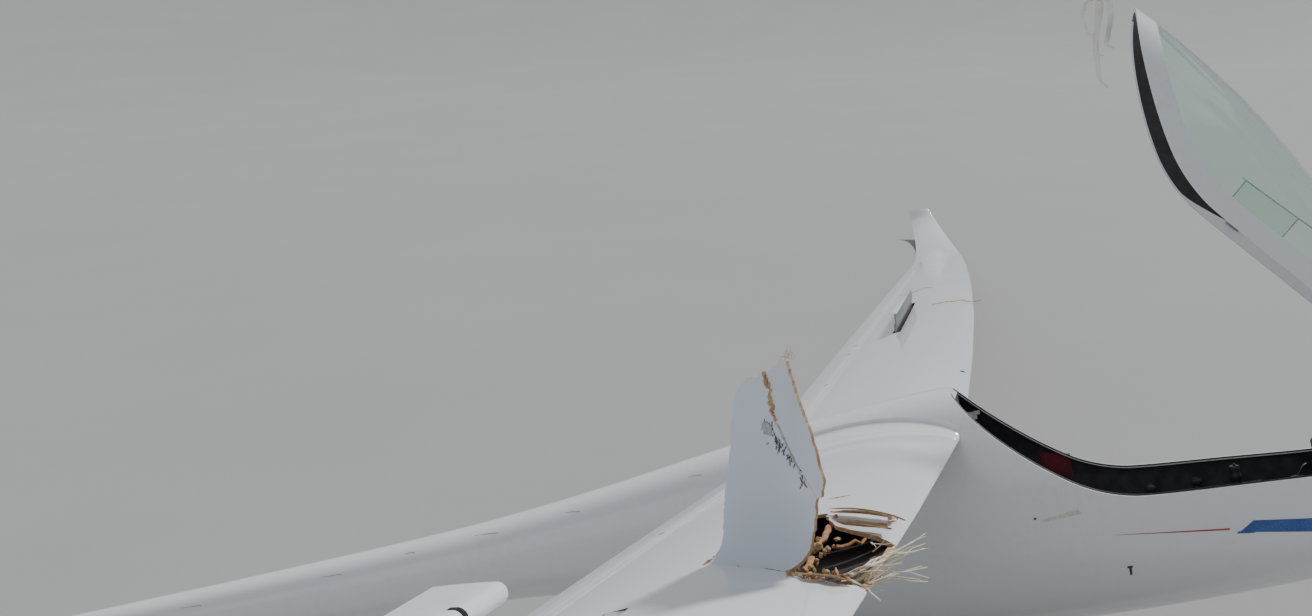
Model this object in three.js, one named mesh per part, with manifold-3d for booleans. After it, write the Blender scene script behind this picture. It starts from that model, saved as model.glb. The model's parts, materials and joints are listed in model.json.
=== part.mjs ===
// An 18 m single-seat sailplane, parked on its main wheel, its tail wheel and its left wing tip.
// Millimetres. The airframe is drawn level with +X to the nose, +Y to the left wing tip and +Z up,
// and a station is the distance aft of a datum 240 mm behind the nose tip. The outer group then
// leans the airframe onto its three ground contacts.
// The upper skin of the right wing is torn open, and a panel of it stands up at the hole's outer end.
import * as THREE from "three";
import { mergeVertices } from "three/addons/utils/BufferGeometryUtils.js";
import Module from "manifold-3d";

const wasm = await Module();
wasm.setup();

// Driving dimensions
const CONTACT = 0.3; // gap between pieces that touch
const RUNNING = 6; // gap round pieces that move

// The three pieces that the aircraft stands on
const FEET = ["main_tyre", "tail_tyre", "left_wing_tip"];

// Fuselage sections: station, half width, top, height of the widest point, bottom
const FUSELAGE = [
  { st: -240, half: 4, top: -91, mid: -95, bottom: -99 },
  { st: -214, half: 40, top: -52, mid: -95, bottom: -136 },
  { st: -130, half: 84, top: 2, mid: -86, bottom: -182 },
  { st: 4, half: 130, top: 60, mid: -72, bottom: -232 },
  { st: 186, half: 174, top: 127, mid: -54, bottom: -278 },
  { st: 430, half: 214, top: 208, mid: -36, bottom: -318 },
  { st: 735, half: 246, top: 300, mid: -18, bottom: -350 },
  { st: 1100, half: 268, top: 392, mid: 0, bottom: -370 },
  { st: 1400, half: 278, top: 458, mid: 16, bottom: -378 },
  { st: 1700, half: 280, top: 491, mid: 36, bottom: -376 },
  { st: 1950, half: 275, top: 494, mid: 64, bottom: -364 },
  { st: 2200, half: 257, top: 474, mid: 96, bottom: -338 },
  { st: 2500, half: 228, top: 436, mid: 128, bottom: -278 },
  { st: 2800, half: 194, top: 388, mid: 146, bottom: -190 },
  { st: 3100, half: 168, top: 334, mid: 146, bottom: -96 },
  { st: 3400, half: 149, top: 285, mid: 128, bottom: -44 },
  { st: 3750, half: 134, top: 240, mid: 103, bottom: -34 },
  { st: 4400, half: 115, top: 184, mid: 68, bottom: -46 },
  { st: 5200, half: 98, top: 126, mid: 33, bottom: -60 },
  { st: 5900, half: 84, top: 81, mid: 6, bottom: -70 },
  { st: 6300, half: 70, top: 55, mid: -12, bottom: -78 },
  { st: 6490, half: 50, top: 38, mid: -24, bottom: -76 },
];
const FUSELAGE_RING = 24; // points round a section
const SQUARENESS = 2.15; // 2 is an ellipse
const SHELL = 12; // wall of the cockpit tub
const TUB = { from: 186, to: 2070 };

// Cockpit rim, seen from the side, from its rear end to its front end
const RIM = [
  [1992, 570],
  [1936, 474],
  [1860, 383],
  [1760, 290],
  [1640, 197],
  [1520, 124],
  [1400, 83],
  [1280, 69],
  [1000, 59],
  [700, 49],
  [420, 50],
  [300, 62],
  [240, 84],
  [208, 112],
  [190, 158],
];
const BULKHEAD = { top: 1925, high: 330, foot: 1390, low: -372 }; // the sloping wall behind the seat
const CANOPY = { shell: 5, frameShell: 14, band: 78, gap: RUNNING, hinge: [60, 100], open: 45 };
const CANOPY_PIN = 4; // radius of the pin in the two lugs ahead of the canopy

// Wing planform. Chords hang on one straight hinge line, so that flap and aileron turn freely.
const HINGE_STATION = 2604;
const HINGE_SHARE = 0.85; // of the chord, ahead of the hinge line
const WING_ROOT = 262; // distance of the root rib from the centre line
const WING_HEIGHT = 311; // hinge line at the centre line
const DIHEDRAL = Math.tan(THREE.MathUtils.degToRad(3));
const INCIDENCE = THREE.MathUtils.degToRad(2.5);
const THICKNESS = 0.14;
const CAMBER = 0.022;
const WING_SECTIONS = [
  { y: WING_ROOT, chord: 808 },
  { y: 1600, chord: 786 },
  { y: 3150, chord: 738 },
  { y: 4700, chord: 660 },
  { y: 5700, chord: 594 },
  { y: 6600, chord: 526 },
];
// Tip panel: distance out, chord, extra rise above the dihedral, lean of the section outwards
const TIP_SECTIONS = [
  { y: 6600.3, chord: 526, rise: 0, lean: 0, aft: 0, t: 0.14 },
  { y: 7300, chord: 458, rise: 4, lean: 1, aft: 0, t: 0.135 },
  { y: 7720, chord: 410, rise: 12, lean: 6, aft: 4, t: 0.13 },
  { y: 8080, chord: 360, rise: 58, lean: 16, aft: 22, t: 0.125 },
  { y: 8420, chord: 310, rise: 132, lean: 24, aft: 52, t: 0.12 },
  { y: 8700, chord: 266, rise: 222, lean: 38, aft: 86, t: 0.11 },
  { y: 8880, chord: 228, rise: 318, lean: 54, aft: 114, t: 0.1 },
  { y: 8960, chord: 196, rise: 404, lean: 64, aft: 138, t: 0.095 },
];
const FLAP = { from: 268, to: 2374, hinges: [420, 1400, 2260] };
const AILERON = { from: 2380, to: 6594, hinges: [2560, 3900, 5250, 6500] };
// Degrees that the right aileron has turned about its outer hinge: trailing edge up, inner end up, inner end aft
const TORN_AILERON = { twist: 20, lift: 1.46, swing: 0.26 };
// Hinge arms: thickness, radius of the eye, of the pin, and the notch that they stand in
const ARM = { thick: 8, eye: 8, pin: 3, notch: 19, rear: 14 };
const PROFILE_POINTS = 13; // along each side of a wing section

// Airbrake: two blades that slide up side by side between guides in a slot, the front one under a lid
const BRAKE = { from: 2500, to: 3800, share: 0.54, slot: 44, lid: 32, lidThick: 5, blade: 8, deep: 74 };
const BRAKE_GUIDE = { width: 9, length: 40, low: 8 };
const BRAKE_RAISED = 104; // how far the left one's lid stands above the skin, twice its lower blade's rise

// The standing panel of the right wing, as a line under its upright part: rear and front end as
// [station, distance out], with the radius of the bend that joins it to the skin outboard of it
const TORN = { rear: [2250, 2190], front: [2092, 2310], bend: 50 };
const SKIN = 7; // thickness of the wing's sandwich skin
// Its outline on the bent skin, as [distance forward along that line, distance up from its foot]
const TORN_PANEL = [
  [-8, 0],
  [-5, 45],
  [34, 162],
  [71, 246],
  [89, 302],
  [115, 353],
  [149, 378],
  [181, 384],
  [196, 393],
  [244, 406],
  [257, 423],
  [276, 417],
  [283, 375],
  [293, 335],
  [308, 289],
  [311, 248],
  [314, 203],
  [295, 166],
  [279, 157],
  [266, 111],
  [244, 60],
  [225, 20],
  [218, 0],
];
// The torn hole, an outline seen from above as [station, distance out], from the panel's front foot
// over the nose and round to its rear foot
const HOLE = [
  [2085, 2392],
  [2060, 2414],
  [2035, 2404],
  [2003, 2422],
  [1975, 2402],
  [1945, 2418],
  [1900, 2412],
  [1900, 2042],
  [1962, 2008],
  [2000, 1985],
  [2045, 1962],
  [2080, 1925],
  [2105, 1850],
  [2120, 1785],
  [2150, 1800],
  [2175, 1850],
  [2240, 1850],
  [2262, 1880],
  [2278, 2050],
  [2292, 2205],
];

// Tail
const FIN = {
  foot: { z: 10, lead: 5916, hinge: 6540 },
  head: { z: 1116, lead: 6225, hinge: 6632 },
  rudderFoot: { z: -66, chord: 268 },
  rudderHead: { z: 1050, chord: 178 },
  hinges: [50, 540, 990],
};
const TAILPLANE = {
  z: 1140,
  half: 1190,
  lead: 6238,
  hinge: 6548,
  rootChord: 430,
  tipChord: 236,
  thickness: 0.11,
  hinges: [-1000, -380, 380, 1000],
};

// Undercarriage
const MAIN = { station: 2040, axle: -446, radius: 180, tyre: 124, rim: 74, width: 92, grooves: [-12, 0, 12] };
const TAILWHEEL = { station: 6270, axle: -62, radius: 86, tyre: 46, rim: 38, width: 34, grooves: [0] };
const GROOVE = { deep: 3, half: 3 };
const BAY = { from: 1800, to: 2290, half: 104, roof: -205 };
const TAIL_BAY = { half: 30, roof: 33 };

// Colours
const WHITE = { color: 0xf1f2f2, roughness: 0.16, metalness: 0 };
const CARBON = { color: 0x15171a, roughness: 0.45, metalness: 0 };
const LINER = { color: 0x1b1e22, roughness: 0.8, metalness: 0 };
const RED_CLOTH = { color: 0x5c1420, roughness: 0.9, metalness: 0 };
const METAL = { color: 0x9b9fa3, roughness: 0.35, metalness: 1 };
const RUBBER = { color: 0x16171a, roughness: 0.85, metalness: 0 };
const GLASS = { color: 0xcfe3dc, roughness: 0.03, metalness: 0, transparent: true, opacity: 0.3 };

// Solids: a closed mesh made into something that can be joined and cut, and back

function solid(geometry) {
  const bare = new THREE.BufferGeometry().setAttribute("position", geometry.getAttribute("position"));
  if (geometry.index) bare.setIndex(geometry.index);
  const merged = mergeVertices(bare, 1e-3);
  const index = merged.index.array;
  const faces = [];
  for (let i = 0; i < index.length; i += 3) {
    const [a, b, c] = [index[i], index[i + 1], index[i + 2]];
    if (a !== b && b !== c && c !== a) faces.push(a, b, c);
  }
  const vertProperties = new Float32Array(merged.attributes.position.array);
  const build = (list) =>
    new wasm.Manifold(new wasm.Mesh({ numProp: 3, vertProperties, triVerts: new Uint32Array(list) }));
  const made = build(faces);
  if (made.volume() >= 0) return made;
  for (let i = 0; i < faces.length; i += 3) [faces[i + 1], faces[i + 2]] = [faces[i + 2], faces[i + 1]];
  return build(faces);
}

function geometryOf(made) {
  const { numProp, vertProperties, triVerts } = made.getMesh();
  const count = vertProperties.length / numProp;
  const positions = new Float32Array(count * 3);
  for (let i = 0; i < count; i++) positions.set(vertProperties.subarray(i * numProp, i * numProp + 3), i * 3);
  const geometry = new THREE.BufferGeometry();
  geometry.setAttribute("position", new THREE.BufferAttribute(positions, 3));
  geometry.setIndex(new THREE.BufferAttribute(new Uint32Array(triVerts), 1));
  const flat = geometry.toNonIndexed();
  flat.computeVertexNormals();
  return flat;
}

// A point of the airframe from its station, its distance to the left and its height
const at = (station, y, z) => new THREE.Vector3(-station, y, z);

// A skin over rings of points, closed at both ends; all rings have one even number of points
function loft(rings) {
  const n = rings[0].length;
  const positions = rings.flat().flatMap((p) => [p.x, p.y, p.z]);
  const index = [];
  for (let i = 0; i + 1 < rings.length; i++)
    for (let j = 0; j < n; j++) {
      const [a, b] = [i * n + j, i * n + ((j + 1) % n)];
      index.push(a, b, b + n, a, b + n, a + n);
    }
  const last = (rings.length - 1) * n;
  for (let j = 0; j < n / 2 - 1; j++) {
    const [a, b, c, d] = [j, j + 1, n - 2 - j, n - 1 - j];
    index.push(a, c, b, a, d, c);
    index.push(last + a, last + b, last + c, last + a, last + c, last + d);
  }
  const geometry = new THREE.BufferGeometry();
  geometry.setAttribute("position", new THREE.BufferAttribute(new Float32Array(positions), 3));
  geometry.setIndex(index);
  return solid(geometry);
}

// A flat outline of [a, b] pairs pushed through a depth along the third direction
function plate(outline, depth, place) {
  const shape = new THREE.Shape(outline.map(([a, b]) => new THREE.Vector2(a, b)));
  const geometry = new THREE.ExtrudeGeometry(shape, { depth, bevelEnabled: false });
  return solid(geometry.applyMatrix4(place));
}

// Outlines drawn as [station, z] and pushed along y
function sidePlate(outline, fromY, toY) {
  const turn = new THREE.Matrix4().makeBasis(
    new THREE.Vector3(-1, 0, 0),
    new THREE.Vector3(0, 0, 1),
    new THREE.Vector3(0, 1, 0),
  );
  turn.setPosition(0, fromY, 0);
  return plate(outline, toY - fromY, turn);
}

// Outlines drawn as [station, y] and pushed up along z
function topPlate(outline, fromZ, toZ) {
  const turn = new THREE.Matrix4().makeBasis(
    new THREE.Vector3(-1, 0, 0),
    new THREE.Vector3(0, 1, 0),
    new THREE.Vector3(0, 0, 1),
  );
  turn.setPosition(0, 0, fromZ);
  return plate(outline, toZ - fromZ, turn);
}

function block(station, y, z, sx, sy, sz, tilt = 0) {
  const geometry = new THREE.BoxGeometry(sx, sy, sz);
  geometry.rotateY(tilt);
  return solid(geometry.translate(-station, y, z));
}

// A round bar from one point to another
function bar(from, to, radius, sides = 16, endRadius = radius) {
  const axis = new THREE.Vector3().subVectors(to, from);
  const geometry = new THREE.CylinderGeometry(endRadius, radius, axis.length(), sides);
  const turn = new THREE.Quaternion().setFromUnitVectors(new THREE.Vector3(0, 1, 0), axis.clone().normalize());
  geometry.applyQuaternion(turn);
  const middle = new THREE.Vector3().addVectors(from, to).multiplyScalar(0.5);
  return solid(geometry.translate(middle.x, middle.y, middle.z));
}

// A body of revolution about the y axis, from [radius, y] pairs that close on themselves
function turned(profile, station, z, sides) {
  const points = [...profile, profile[0]].map(([r, y]) => new THREE.Vector2(r, y));
  return solid(new THREE.LatheGeometry(points, sides).translate(-station, 0, z));
}

const joinAll = (list) => list.reduce((sum, item) => sum.add(item));

// Fuselage

// Smooth values between the table's sections
function smoothFuselage(station) {
  const curve = (key) => {
    const i = Math.max(1, FUSELAGE.findIndex((s) => s.st >= station));
    const [p, a, b, q] = [
      FUSELAGE[Math.max(0, i - 2)],
      FUSELAGE[i - 1],
      FUSELAGE[i],
      FUSELAGE[Math.min(FUSELAGE.length - 1, i + 1)],
    ];
    const span = b.st - a.st;
    const u = (station - a.st) / span;
    const slopeA = p === a ? (b[key] - a[key]) / span : (b[key] - p[key]) / (b.st - p.st);
    const slopeB = q === b ? (b[key] - a[key]) / span : (q[key] - a[key]) / (q.st - a.st);
    const [u2, u3] = [u * u, u * u * u];
    return (
      (2 * u3 - 3 * u2 + 1) * a[key] +
      (u3 - 2 * u2 + u) * span * slopeA +
      (3 * u2 - 2 * u3) * b[key] +
      (u3 - u2) * span * slopeB
    );
  };
  return { half: curve("half"), top: curve("top"), mid: curve("mid"), bottom: curve("bottom") };
}

function ring(station, section, inset) {
  const power = 2 / SQUARENESS;
  const bent = (v) => Math.sign(v) * Math.abs(v) ** power;
  const half = section.half - inset;
  return Array.from({ length: FUSELAGE_RING }, (_, i) => {
    const angle = ((i + 0.5) / FUSELAGE_RING) * Math.PI * 2 + Math.PI / 2;
    const reach = Math.sin(angle) > 0 ? section.top - inset - section.mid : section.mid - section.bottom - inset;
    return at(station, half * bent(Math.cos(angle)), section.mid + reach * bent(Math.sin(angle)));
  });
}

function fuselageHull(stations, inset) {
  return loft(stations.map((st) => ring(st, smoothFuselage(st), inset)));
}

// The rim's side view moved outwards by a distance, closed by a box above it
function overRim(distance) {
  const moved = RIM.map(([st, z], i) => {
    const [a, b] = [RIM[Math.max(0, i - 1)], RIM[Math.min(RIM.length - 1, i + 1)]];
    const [dx, dz] = [b[0] - a[0], b[1] - a[1]];
    const length = Math.hypot(dx, dz);
    return [st + (dz / length) * distance, z - (dx / length) * distance];
  });
  return sidePlate([...moved, [moved.at(-1)[0], 700], [moved[0][0], 700]], -500, 500);
}

const HULL_STATIONS = [
  ...FUSELAGE.map((s) => s.st),
  ...[-175, -65, 95, 305, 580, 910, 1250, 1550, 1830, 2070, 2350, 2650, 2950, 3250, 3570],
].sort((a, b) => a - b);

const rudderRadius = (z) => 31 - (8 * (z - FIN.rudderFoot.z)) / (FIN.rudderHead.z - FIN.rudderFoot.z);
const finHinge = (z) => FIN.foot.hinge + ((FIN.head.hinge - FIN.foot.hinge) * (z - FIN.foot.z)) / (FIN.head.z - FIN.foot.z);

// An arm with an eye on a hinge line and a pin through it, drawn along the x axis with the eye at 0
function hingeArm(reach) {
  const arm = new THREE.BoxGeometry(reach, ARM.thick, ARM.eye * 1.5).translate(reach / 2, 0, 0);
  const eye = new THREE.CylinderGeometry(ARM.eye, ARM.eye, ARM.thick, 8);
  const pin = new THREE.CylinderGeometry(ARM.pin, ARM.pin, ARM.notch - 2 * CONTACT, 6);
  return solid(arm).add(solid(eye)).add(solid(pin));
}

function hingeNotch(nose) {
  const length = nose + ARM.rear + 4;
  return solid(new THREE.BoxGeometry(length, ARM.notch, 4 * nose).translate(length / 2 - ARM.rear, 0, 0));
}

// A solid turned so that its y axis lies along a hinge line, and moved to a point on it
function onHinge(made, point, axis) {
  const side = new THREE.Vector3(1, 0, 0).addScaledVector(axis, -axis.x).normalize();
  const turn = new THREE.Matrix4().makeBasis(side, axis, new THREE.Vector3().crossVectors(side, axis));
  turn.setPosition(point);
  return solid(geometryOf(made).applyMatrix4(turn));
}

function finRing({ z, lead, hinge }, upTo) {
  const chord = hinge - lead;
  const thick = 0.15 * chord;
  const shares = [1, 0.82, 0.6, 0.4, 0.22, 0.1, 0.03, 0];
  const half = (x) => 0.5 * thick * Math.sin(Math.PI * Math.min(0.72, 0.72 * x) ** 0.7) ** 0.85;
  const left = shares.map((x) => at(lead + x * (chord - upTo), half(x), z));
  const right = [...shares].reverse().map((x) => at(lead + x * (chord - upTo), -half(x), z));
  right[0] = at(lead, -0.6, z);
  left[left.length - 1] = at(lead, 0.6, z);
  return [...left, ...right];
}

function fin() {
  const rings = [0, 0.5, 1].map((share) => {
    const z = FIN.foot.z + (FIN.head.z - FIN.foot.z) * share;
    const lead = FIN.foot.lead + (FIN.head.lead - FIN.foot.lead) * share;
    return finRing({ z, lead, hinge: finHinge(z) }, rudderRadius(z) + RUNNING);
  });
  const notch = block(6700, 0, 1150, 330, 200, 176);
  const arms = FIN.hinges.map((z) => onHinge(hingeArm(rudderRadius(z) + 30), at(finHinge(z), 0, z), rudderAxis()));
  return joinAll([loft(rings).subtract(notch), ...arms]);
}

const rudderAxis = () =>
  at(FIN.head.hinge, 0, FIN.head.z).sub(at(FIN.foot.hinge, 0, FIN.foot.z)).normalize();

// The stub that the wing's root rib lies against
function rootStub(side) {
  const rings = [0, WING_ROOT - CONTACT].map((y) =>
    profile(1, THICKNESS).map(([x, h]) => {
      const c = camberLine(x);
      const reach = Math.max(0.003, Math.abs(h - c));
      return wingPoint({ y, chord: WING_SECTIONS[0].chord }, side, [x, c + Math.sign(h - c) * reach]);
    }),
  );
  return loft(rings);
}

function fuselage() {
  const outer = fuselageHull(HULL_STATIONS, 0);
  const cavity = fuselageHull(
    HULL_STATIONS.filter((st) => st >= TUB.from && st <= TUB.to),
    SHELL,
  );
  const ahead = sidePlate(
    [
      [150, 700],
      [BULKHEAD.top, 700],
      [BULKHEAD.top, BULKHEAD.high],
      [BULKHEAD.foot, BULKHEAD.low],
      [BULKHEAD.foot, -500],
      [150, -500],
    ],
    -500,
    500,
  );
  const [hingeAt, hingeZ] = CANOPY.hinge;
  const lug = [
    [hingeAt - 12, hingeZ - 40],
    [hingeAt - 9, hingeZ + 4],
    [hingeAt - 4, hingeZ + 9],
    [hingeAt + 4, hingeZ + 9],
    [hingeAt + 9, hingeZ + 4],
    [hingeAt + 12, hingeZ - 40],
  ];
  const bore = bar(at(hingeAt, -40, hingeZ), at(hingeAt, 40, hingeZ), CANOPY_PIN + CONTACT, 16);
  const lugs = sidePlate(lug, 12 + CONTACT, 20).add(sidePlate(lug, -20, -12 - CONTACT)).subtract(bore);
  const bay = block((BAY.from + BAY.to) / 2, 0, BAY.roof - 150, BAY.to - BAY.from, 2 * BAY.half, 300);
  const tailBay = block(TAILWHEEL.station, 0, TAIL_BAY.roof - 100, 2 * TAILWHEEL.radius + 16, 2 * TAIL_BAY.half, 200);
  return outer
    .subtract(overRim(0))
    .add(rootStub(1))
    .add(rootStub(-1))
    .subtract(cavity.intersect(ahead))
    .add(fin())
    .add(lugs)
    .subtract(bay)
    .subtract(tailBay);
}

// Canopy, drawn closed and then turned open about its front hinge

function openCanopy(made) {
  const [st, z] = CANOPY.hinge;
  const geometry = geometryOf(made);
  geometry.translate(st, 0, -z).rotateY(THREE.MathUtils.degToRad(CANOPY.open));
  return solid(geometry.translate(-st, 0, z));
}

function canopyShell(inset, thickness, fromRim, toRim) {
  const stations = HULL_STATIONS.filter((st) => st >= TUB.from && st <= TUB.to);
  const shell = fuselageHull(stations, inset).subtract(fuselageHull(stations, inset + thickness));
  const over = shell.intersect(overRim(fromRim));
  return toRim ? over.subtract(overRim(toRim)) : over;
}

function canopyFrame() {
  const { gap, band, frameShell, hinge } = CANOPY;
  const [st, z] = hinge;
  const rim = canopyShell(0, frameShell, gap, band);
  const arm = sidePlate(
    [
      [st - 8, z - 4],
      [st - 8, z + 4],
      [st - 4, z + 8],
      [st + 4, z + 9],
      [st + 70, z + 26],
      [st + 155, z + 52],
      [st + 192, z + 59],
      [st + 192, z + 46],
      [st + 162, z + 41],
      [st + 140, z + 41],
      [st + 70, z + 15],
      [st + 6, z - 6],
      [st - 4, z - 7],
    ],
    -12,
    12,
  );
  const pin = bar(at(st, -24, z), at(st, 24, z), CANOPY_PIN, 16);
  return openCanopy(rim.add(arm).add(pin));
}

function canopyGlass() {
  const { band, shell } = CANOPY;
  return openCanopy(canopyShell(1.5, shell, band + CONTACT, 0));
}

// Wings

const halfThickness = (x, t) => 0.5 * t * Math.sin(Math.PI * x ** 0.74) ** 0.85;
const camberLine = (x) => 4 * CAMBER * x * (1 - x);

// Shares of the chord from one point back to the leading edge, close together at the nose
function shares(from) {
  return Array.from({ length: PROFILE_POINTS }, (_, i) => from * (1 - i / (PROFILE_POINTS - 1)) ** 1.7);
}

// Upper side from the rear to the nose, then the lower side back, as [share, height share]
function profile(from, thickness) {
  const list = shares(from);
  const upper = list.slice(0, -1).map((x) => [x, camberLine(x) + halfThickness(x, thickness)]);
  const lower = list.slice(0, -1).reverse().map((x) => [x, camberLine(x) - halfThickness(x, thickness)]);
  return [...upper, [0, 0.0006], [0, -0.0006], ...lower];
}

const hingeHeight = (y) => WING_HEIGHT + Math.abs(y) * DIHEDRAL;
const hingeRadius = (chord) => chord * halfThickness(HINGE_SHARE, THICKNESS);

// A point of a wing section, from shares of its chord, on side 1 for left and -1 for right
function wingPoint(section, side, [x, h]) {
  const { y, chord } = section;
  const back = (x - HINGE_SHARE) * chord;
  const up = (h - camberLine(HINGE_SHARE)) * chord;
  const [cos, sin] = [Math.cos(INCIDENCE), Math.sin(INCIDENCE)];
  const lean = THREE.MathUtils.degToRad(section.lean ?? 0);
  const lift = up * cos - back * sin;
  return at(
    HINGE_STATION + (section.aft ?? 0) + back * cos + up * sin,
    side * (y - lift * Math.sin(lean)),
    hingeHeight(y) + (section.rise ?? 0) + lift * Math.cos(lean),
  );
}

function wingMain(side) {
  const rings = WING_SECTIONS.map((section) => {
    const end = HINGE_SHARE - (hingeRadius(section.chord) + RUNNING) / section.chord;
    return profile(end, THICKNESS).map((point) => wingPoint(section, side, point));
  });
  const arms = [...FLAP.hinges, ...AILERON.hinges].map((y) => onWingHinge(hingeArm(hingeRadius(chordAt(y)) + 34), side, y));
  return joinAll([loft(rings), ...arms]);
}

const wingAxis = (side) => new THREE.Vector3(0, side, DIHEDRAL).normalize();

function onWingHinge(made, side, y) {
  return onHinge(made, at(HINGE_STATION, side * y, hingeHeight(y)), wingAxis(side));
}

function wingHollow(side) {
  const rings = WING_SECTIONS.slice(0, 3).map((section) => {
    const inset = SKIN / section.chord;
    return profile(0.62, THICKNESS).map(([x, h]) => {
      const c = camberLine(x);
      const room = Math.max(0.0008, Math.abs(h - c) - inset);
      return wingPoint(section, side, [inset * 1.6 + x * (1 - inset * 1.6), c + Math.sign(h - c) * room]);
    });
  });
  return loft(rings);
}

// Chord at a distance out, between the table's sections
function chordAt(y) {
  const i = Math.max(1, WING_SECTIONS.findIndex((s) => s.y >= y));
  const [a, b] = [WING_SECTIONS[i - 1], WING_SECTIONS[i]];
  return a.chord + ((b.chord - a.chord) * (y - a.y)) / (b.y - a.y);
}

// A flap or aileron: a round nose about the hinge line, then the wing's own profile
function flap(side, { from, to, hinges }) {
  const stops = [from, ...WING_SECTIONS.map((s) => s.y).filter((y) => y > from && y < to), to];
  const rings = stops.map((y) => {
    const chord = chordAt(y);
    const radius = hingeRadius(chord) / chord;
    const rear = [1, 0.975, 0.94, 0.9];
    const side2 = (sign) => rear.map((x) => [x, camberLine(x) + sign * Math.max(0.0015, halfThickness(x, THICKNESS))]);
    const nose = [90, 126, 162, 198, 234, 270].map((degrees) => {
      const angle = THREE.MathUtils.degToRad(degrees);
      return [HINGE_SHARE + radius * Math.cos(angle), camberLine(HINGE_SHARE) + radius * Math.sin(angle)];
    });
    const outline = [...side2(1), ...nose, ...side2(-1).reverse()];
    return outline.map((point) => wingPoint({ y, chord }, side, point));
  });
  const notches = hinges.map((y) => onWingHinge(hingeNotch(hingeRadius(chordAt(y))), side, y));
  return notches.reduce((sum, notch) => sum.subtract(notch), loft(rings));
}

// The right aileron, off all its hinges but the outer one, with its inner end standing above the wing
function tornAileron() {
  const y = AILERON.hinges.at(-1);
  const hinge = at(HINGE_STATION, RIGHT * y, hingeHeight(y));
  const { twist, lift, swing } = TORN_AILERON;
  const turn = new THREE.Matrix4().makeTranslation(hinge.x, hinge.y, hinge.z);
  const about = (axis, degrees) =>
    turn.multiply(new THREE.Matrix4().makeRotationAxis(axis, THREE.MathUtils.degToRad(degrees)));
  about(new THREE.Vector3(0, 0, 1), swing);
  about(new THREE.Vector3(1, 0, 0), lift);
  about(wingAxis(RIGHT).negate(), twist);
  turn.multiply(new THREE.Matrix4().makeTranslation(-hinge.x, -hinge.y, -hinge.z));
  return solid(geometryOf(flap(RIGHT, AILERON)).applyMatrix4(turn));
}

function wingTip(side) {
  const rings = TIP_SECTIONS.map((section) =>
    profile(1, section.t).map(([x, h]) => {
      const blunt = Math.max(0.0022, Math.abs(h - camberLine(x)));
      return wingPoint(section, side, [x, x < 0.9 ? h : camberLine(x) + Math.sign(h - camberLine(x)) * blunt]);
    }),
  );
  return loft(rings);
}

// Bars along the span under the upper skin, from boxes of [ahead, behind, low, high] about the slot's middle
function spanBar(side, fromY, toY, [front, rear, low, high]) {
  const [near, far] = [BRAKE.from, BRAKE.to].map((y) => {
    const h = camberLine(BRAKE.share) + halfThickness(BRAKE.share, THICKNESS);
    return wingPoint({ y, chord: chordAt(y) }, side, [BRAKE.share, h]);
  });
  const rings = [fromY, toY].map((y) => {
    const middle = near.clone().lerp(far, (y - BRAKE.from) / (BRAKE.to - BRAKE.from));
    return [
      [front, high],
      [front, low],
      [rear, low],
      [rear, high],
    ].map(([x, z]) => new THREE.Vector3(middle.x + x, middle.y, middle.z + z));
  });
  return loft(rings);
}

function brakeSlot(side) {
  const half = BRAKE.slot / 2;
  const slot = spanBar(side, BRAKE.from - RUNNING, BRAKE.to + RUNNING, [half, -half, -BRAKE.deep - CONTACT, 40]);
  const near = BRAKE.blade + 1.5 * CONTACT;
  const far = near + BRAKE_GUIDE.width;
  const guides = [0.2, 0.8].flatMap((share) => {
    const y = BRAKE.from + (BRAKE.to - BRAKE.from) * share;
    const ends = [y - BRAKE_GUIDE.length / 2, y + BRAKE_GUIDE.length / 2];
    return [
      [far, near],
      [-near, -far],
    ].map(([front, rear]) => spanBar(side, ...ends, [front, rear, -BRAKE.deep - 5, -BRAKE_GUIDE.low]));
  });
  return guides.reduce((sum, guide) => sum.subtract(guide), slot);
}

function airbrake(side, raised) {
  const { from, to, lid, lidThick, blade, deep } = BRAKE;
  const front = blade + CONTACT / 2;
  const cap = spanBar(side, from, to, [lid / 2, -lid / 2, raised - lidThick, raised]);
  return cap.add(spanBar(side, from, to, [front, CONTACT / 2, raised - deep, raised - 1]));
}

function lowerBlade(side, raised) {
  const { from, to, blade, deep } = BRAKE;
  const rear = -blade - CONTACT / 2;
  return spanBar(side, from, to, [-CONTACT / 2, rear, raised - deep, raised - 11]);
}

// A point under the standing panel, from the distance forward along its line and outboard of it
function tornLine(along, out) {
  const [dx, dy] = [TORN.front[0] - TORN.rear[0], TORN.front[1] - TORN.rear[1]];
  const length = Math.hypot(dx, dy);
  const [ux, uy] = [dx / length, dy / length];
  return [TORN.rear[0] + ux * along + uy * out, TORN.rear[1] + uy * along - ux * out];
}

// Height of the upper skin at a station and a distance out
function skinHeight(station, y) {
  const chord = chordAt(y);
  const x = (station - HINGE_STATION) / chord + HINGE_SHARE;
  const up = camberLine(x) + halfThickness(x, THICKNESS) - camberLine(HINGE_SHARE);
  return hingeHeight(y) + up * chord - (x - HINGE_SHARE) * chord * Math.sin(INCIDENCE);
}

// The outline of the torn hole as a block through the wing
function holePrism(side) {
  const foot = TORN.bend + CONTACT;
  const outline = [tornLine(-12, foot), tornLine(222, foot), ...HOLE].map(([st, y]) => [st, side * y]);
  return topPlate(outline, 100, 800);
}

function aboveChord(side) {
  const rings = WING_SECTIONS.slice(0, 3).map((section) =>
    [
      [0.62, 0.3],
      [-0.08, 0.3],
      [-0.08, -0.006],
      [0.62, 0.05],
    ].map((point) => wingPoint(section, side, point)),
  );
  return loft(rings);
}

function tornWing(side) {
  const opening = holePrism(side).intersect(wingHollow(side).add(aboveChord(side)));
  return wingMain(side).subtract(opening);
}

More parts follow.
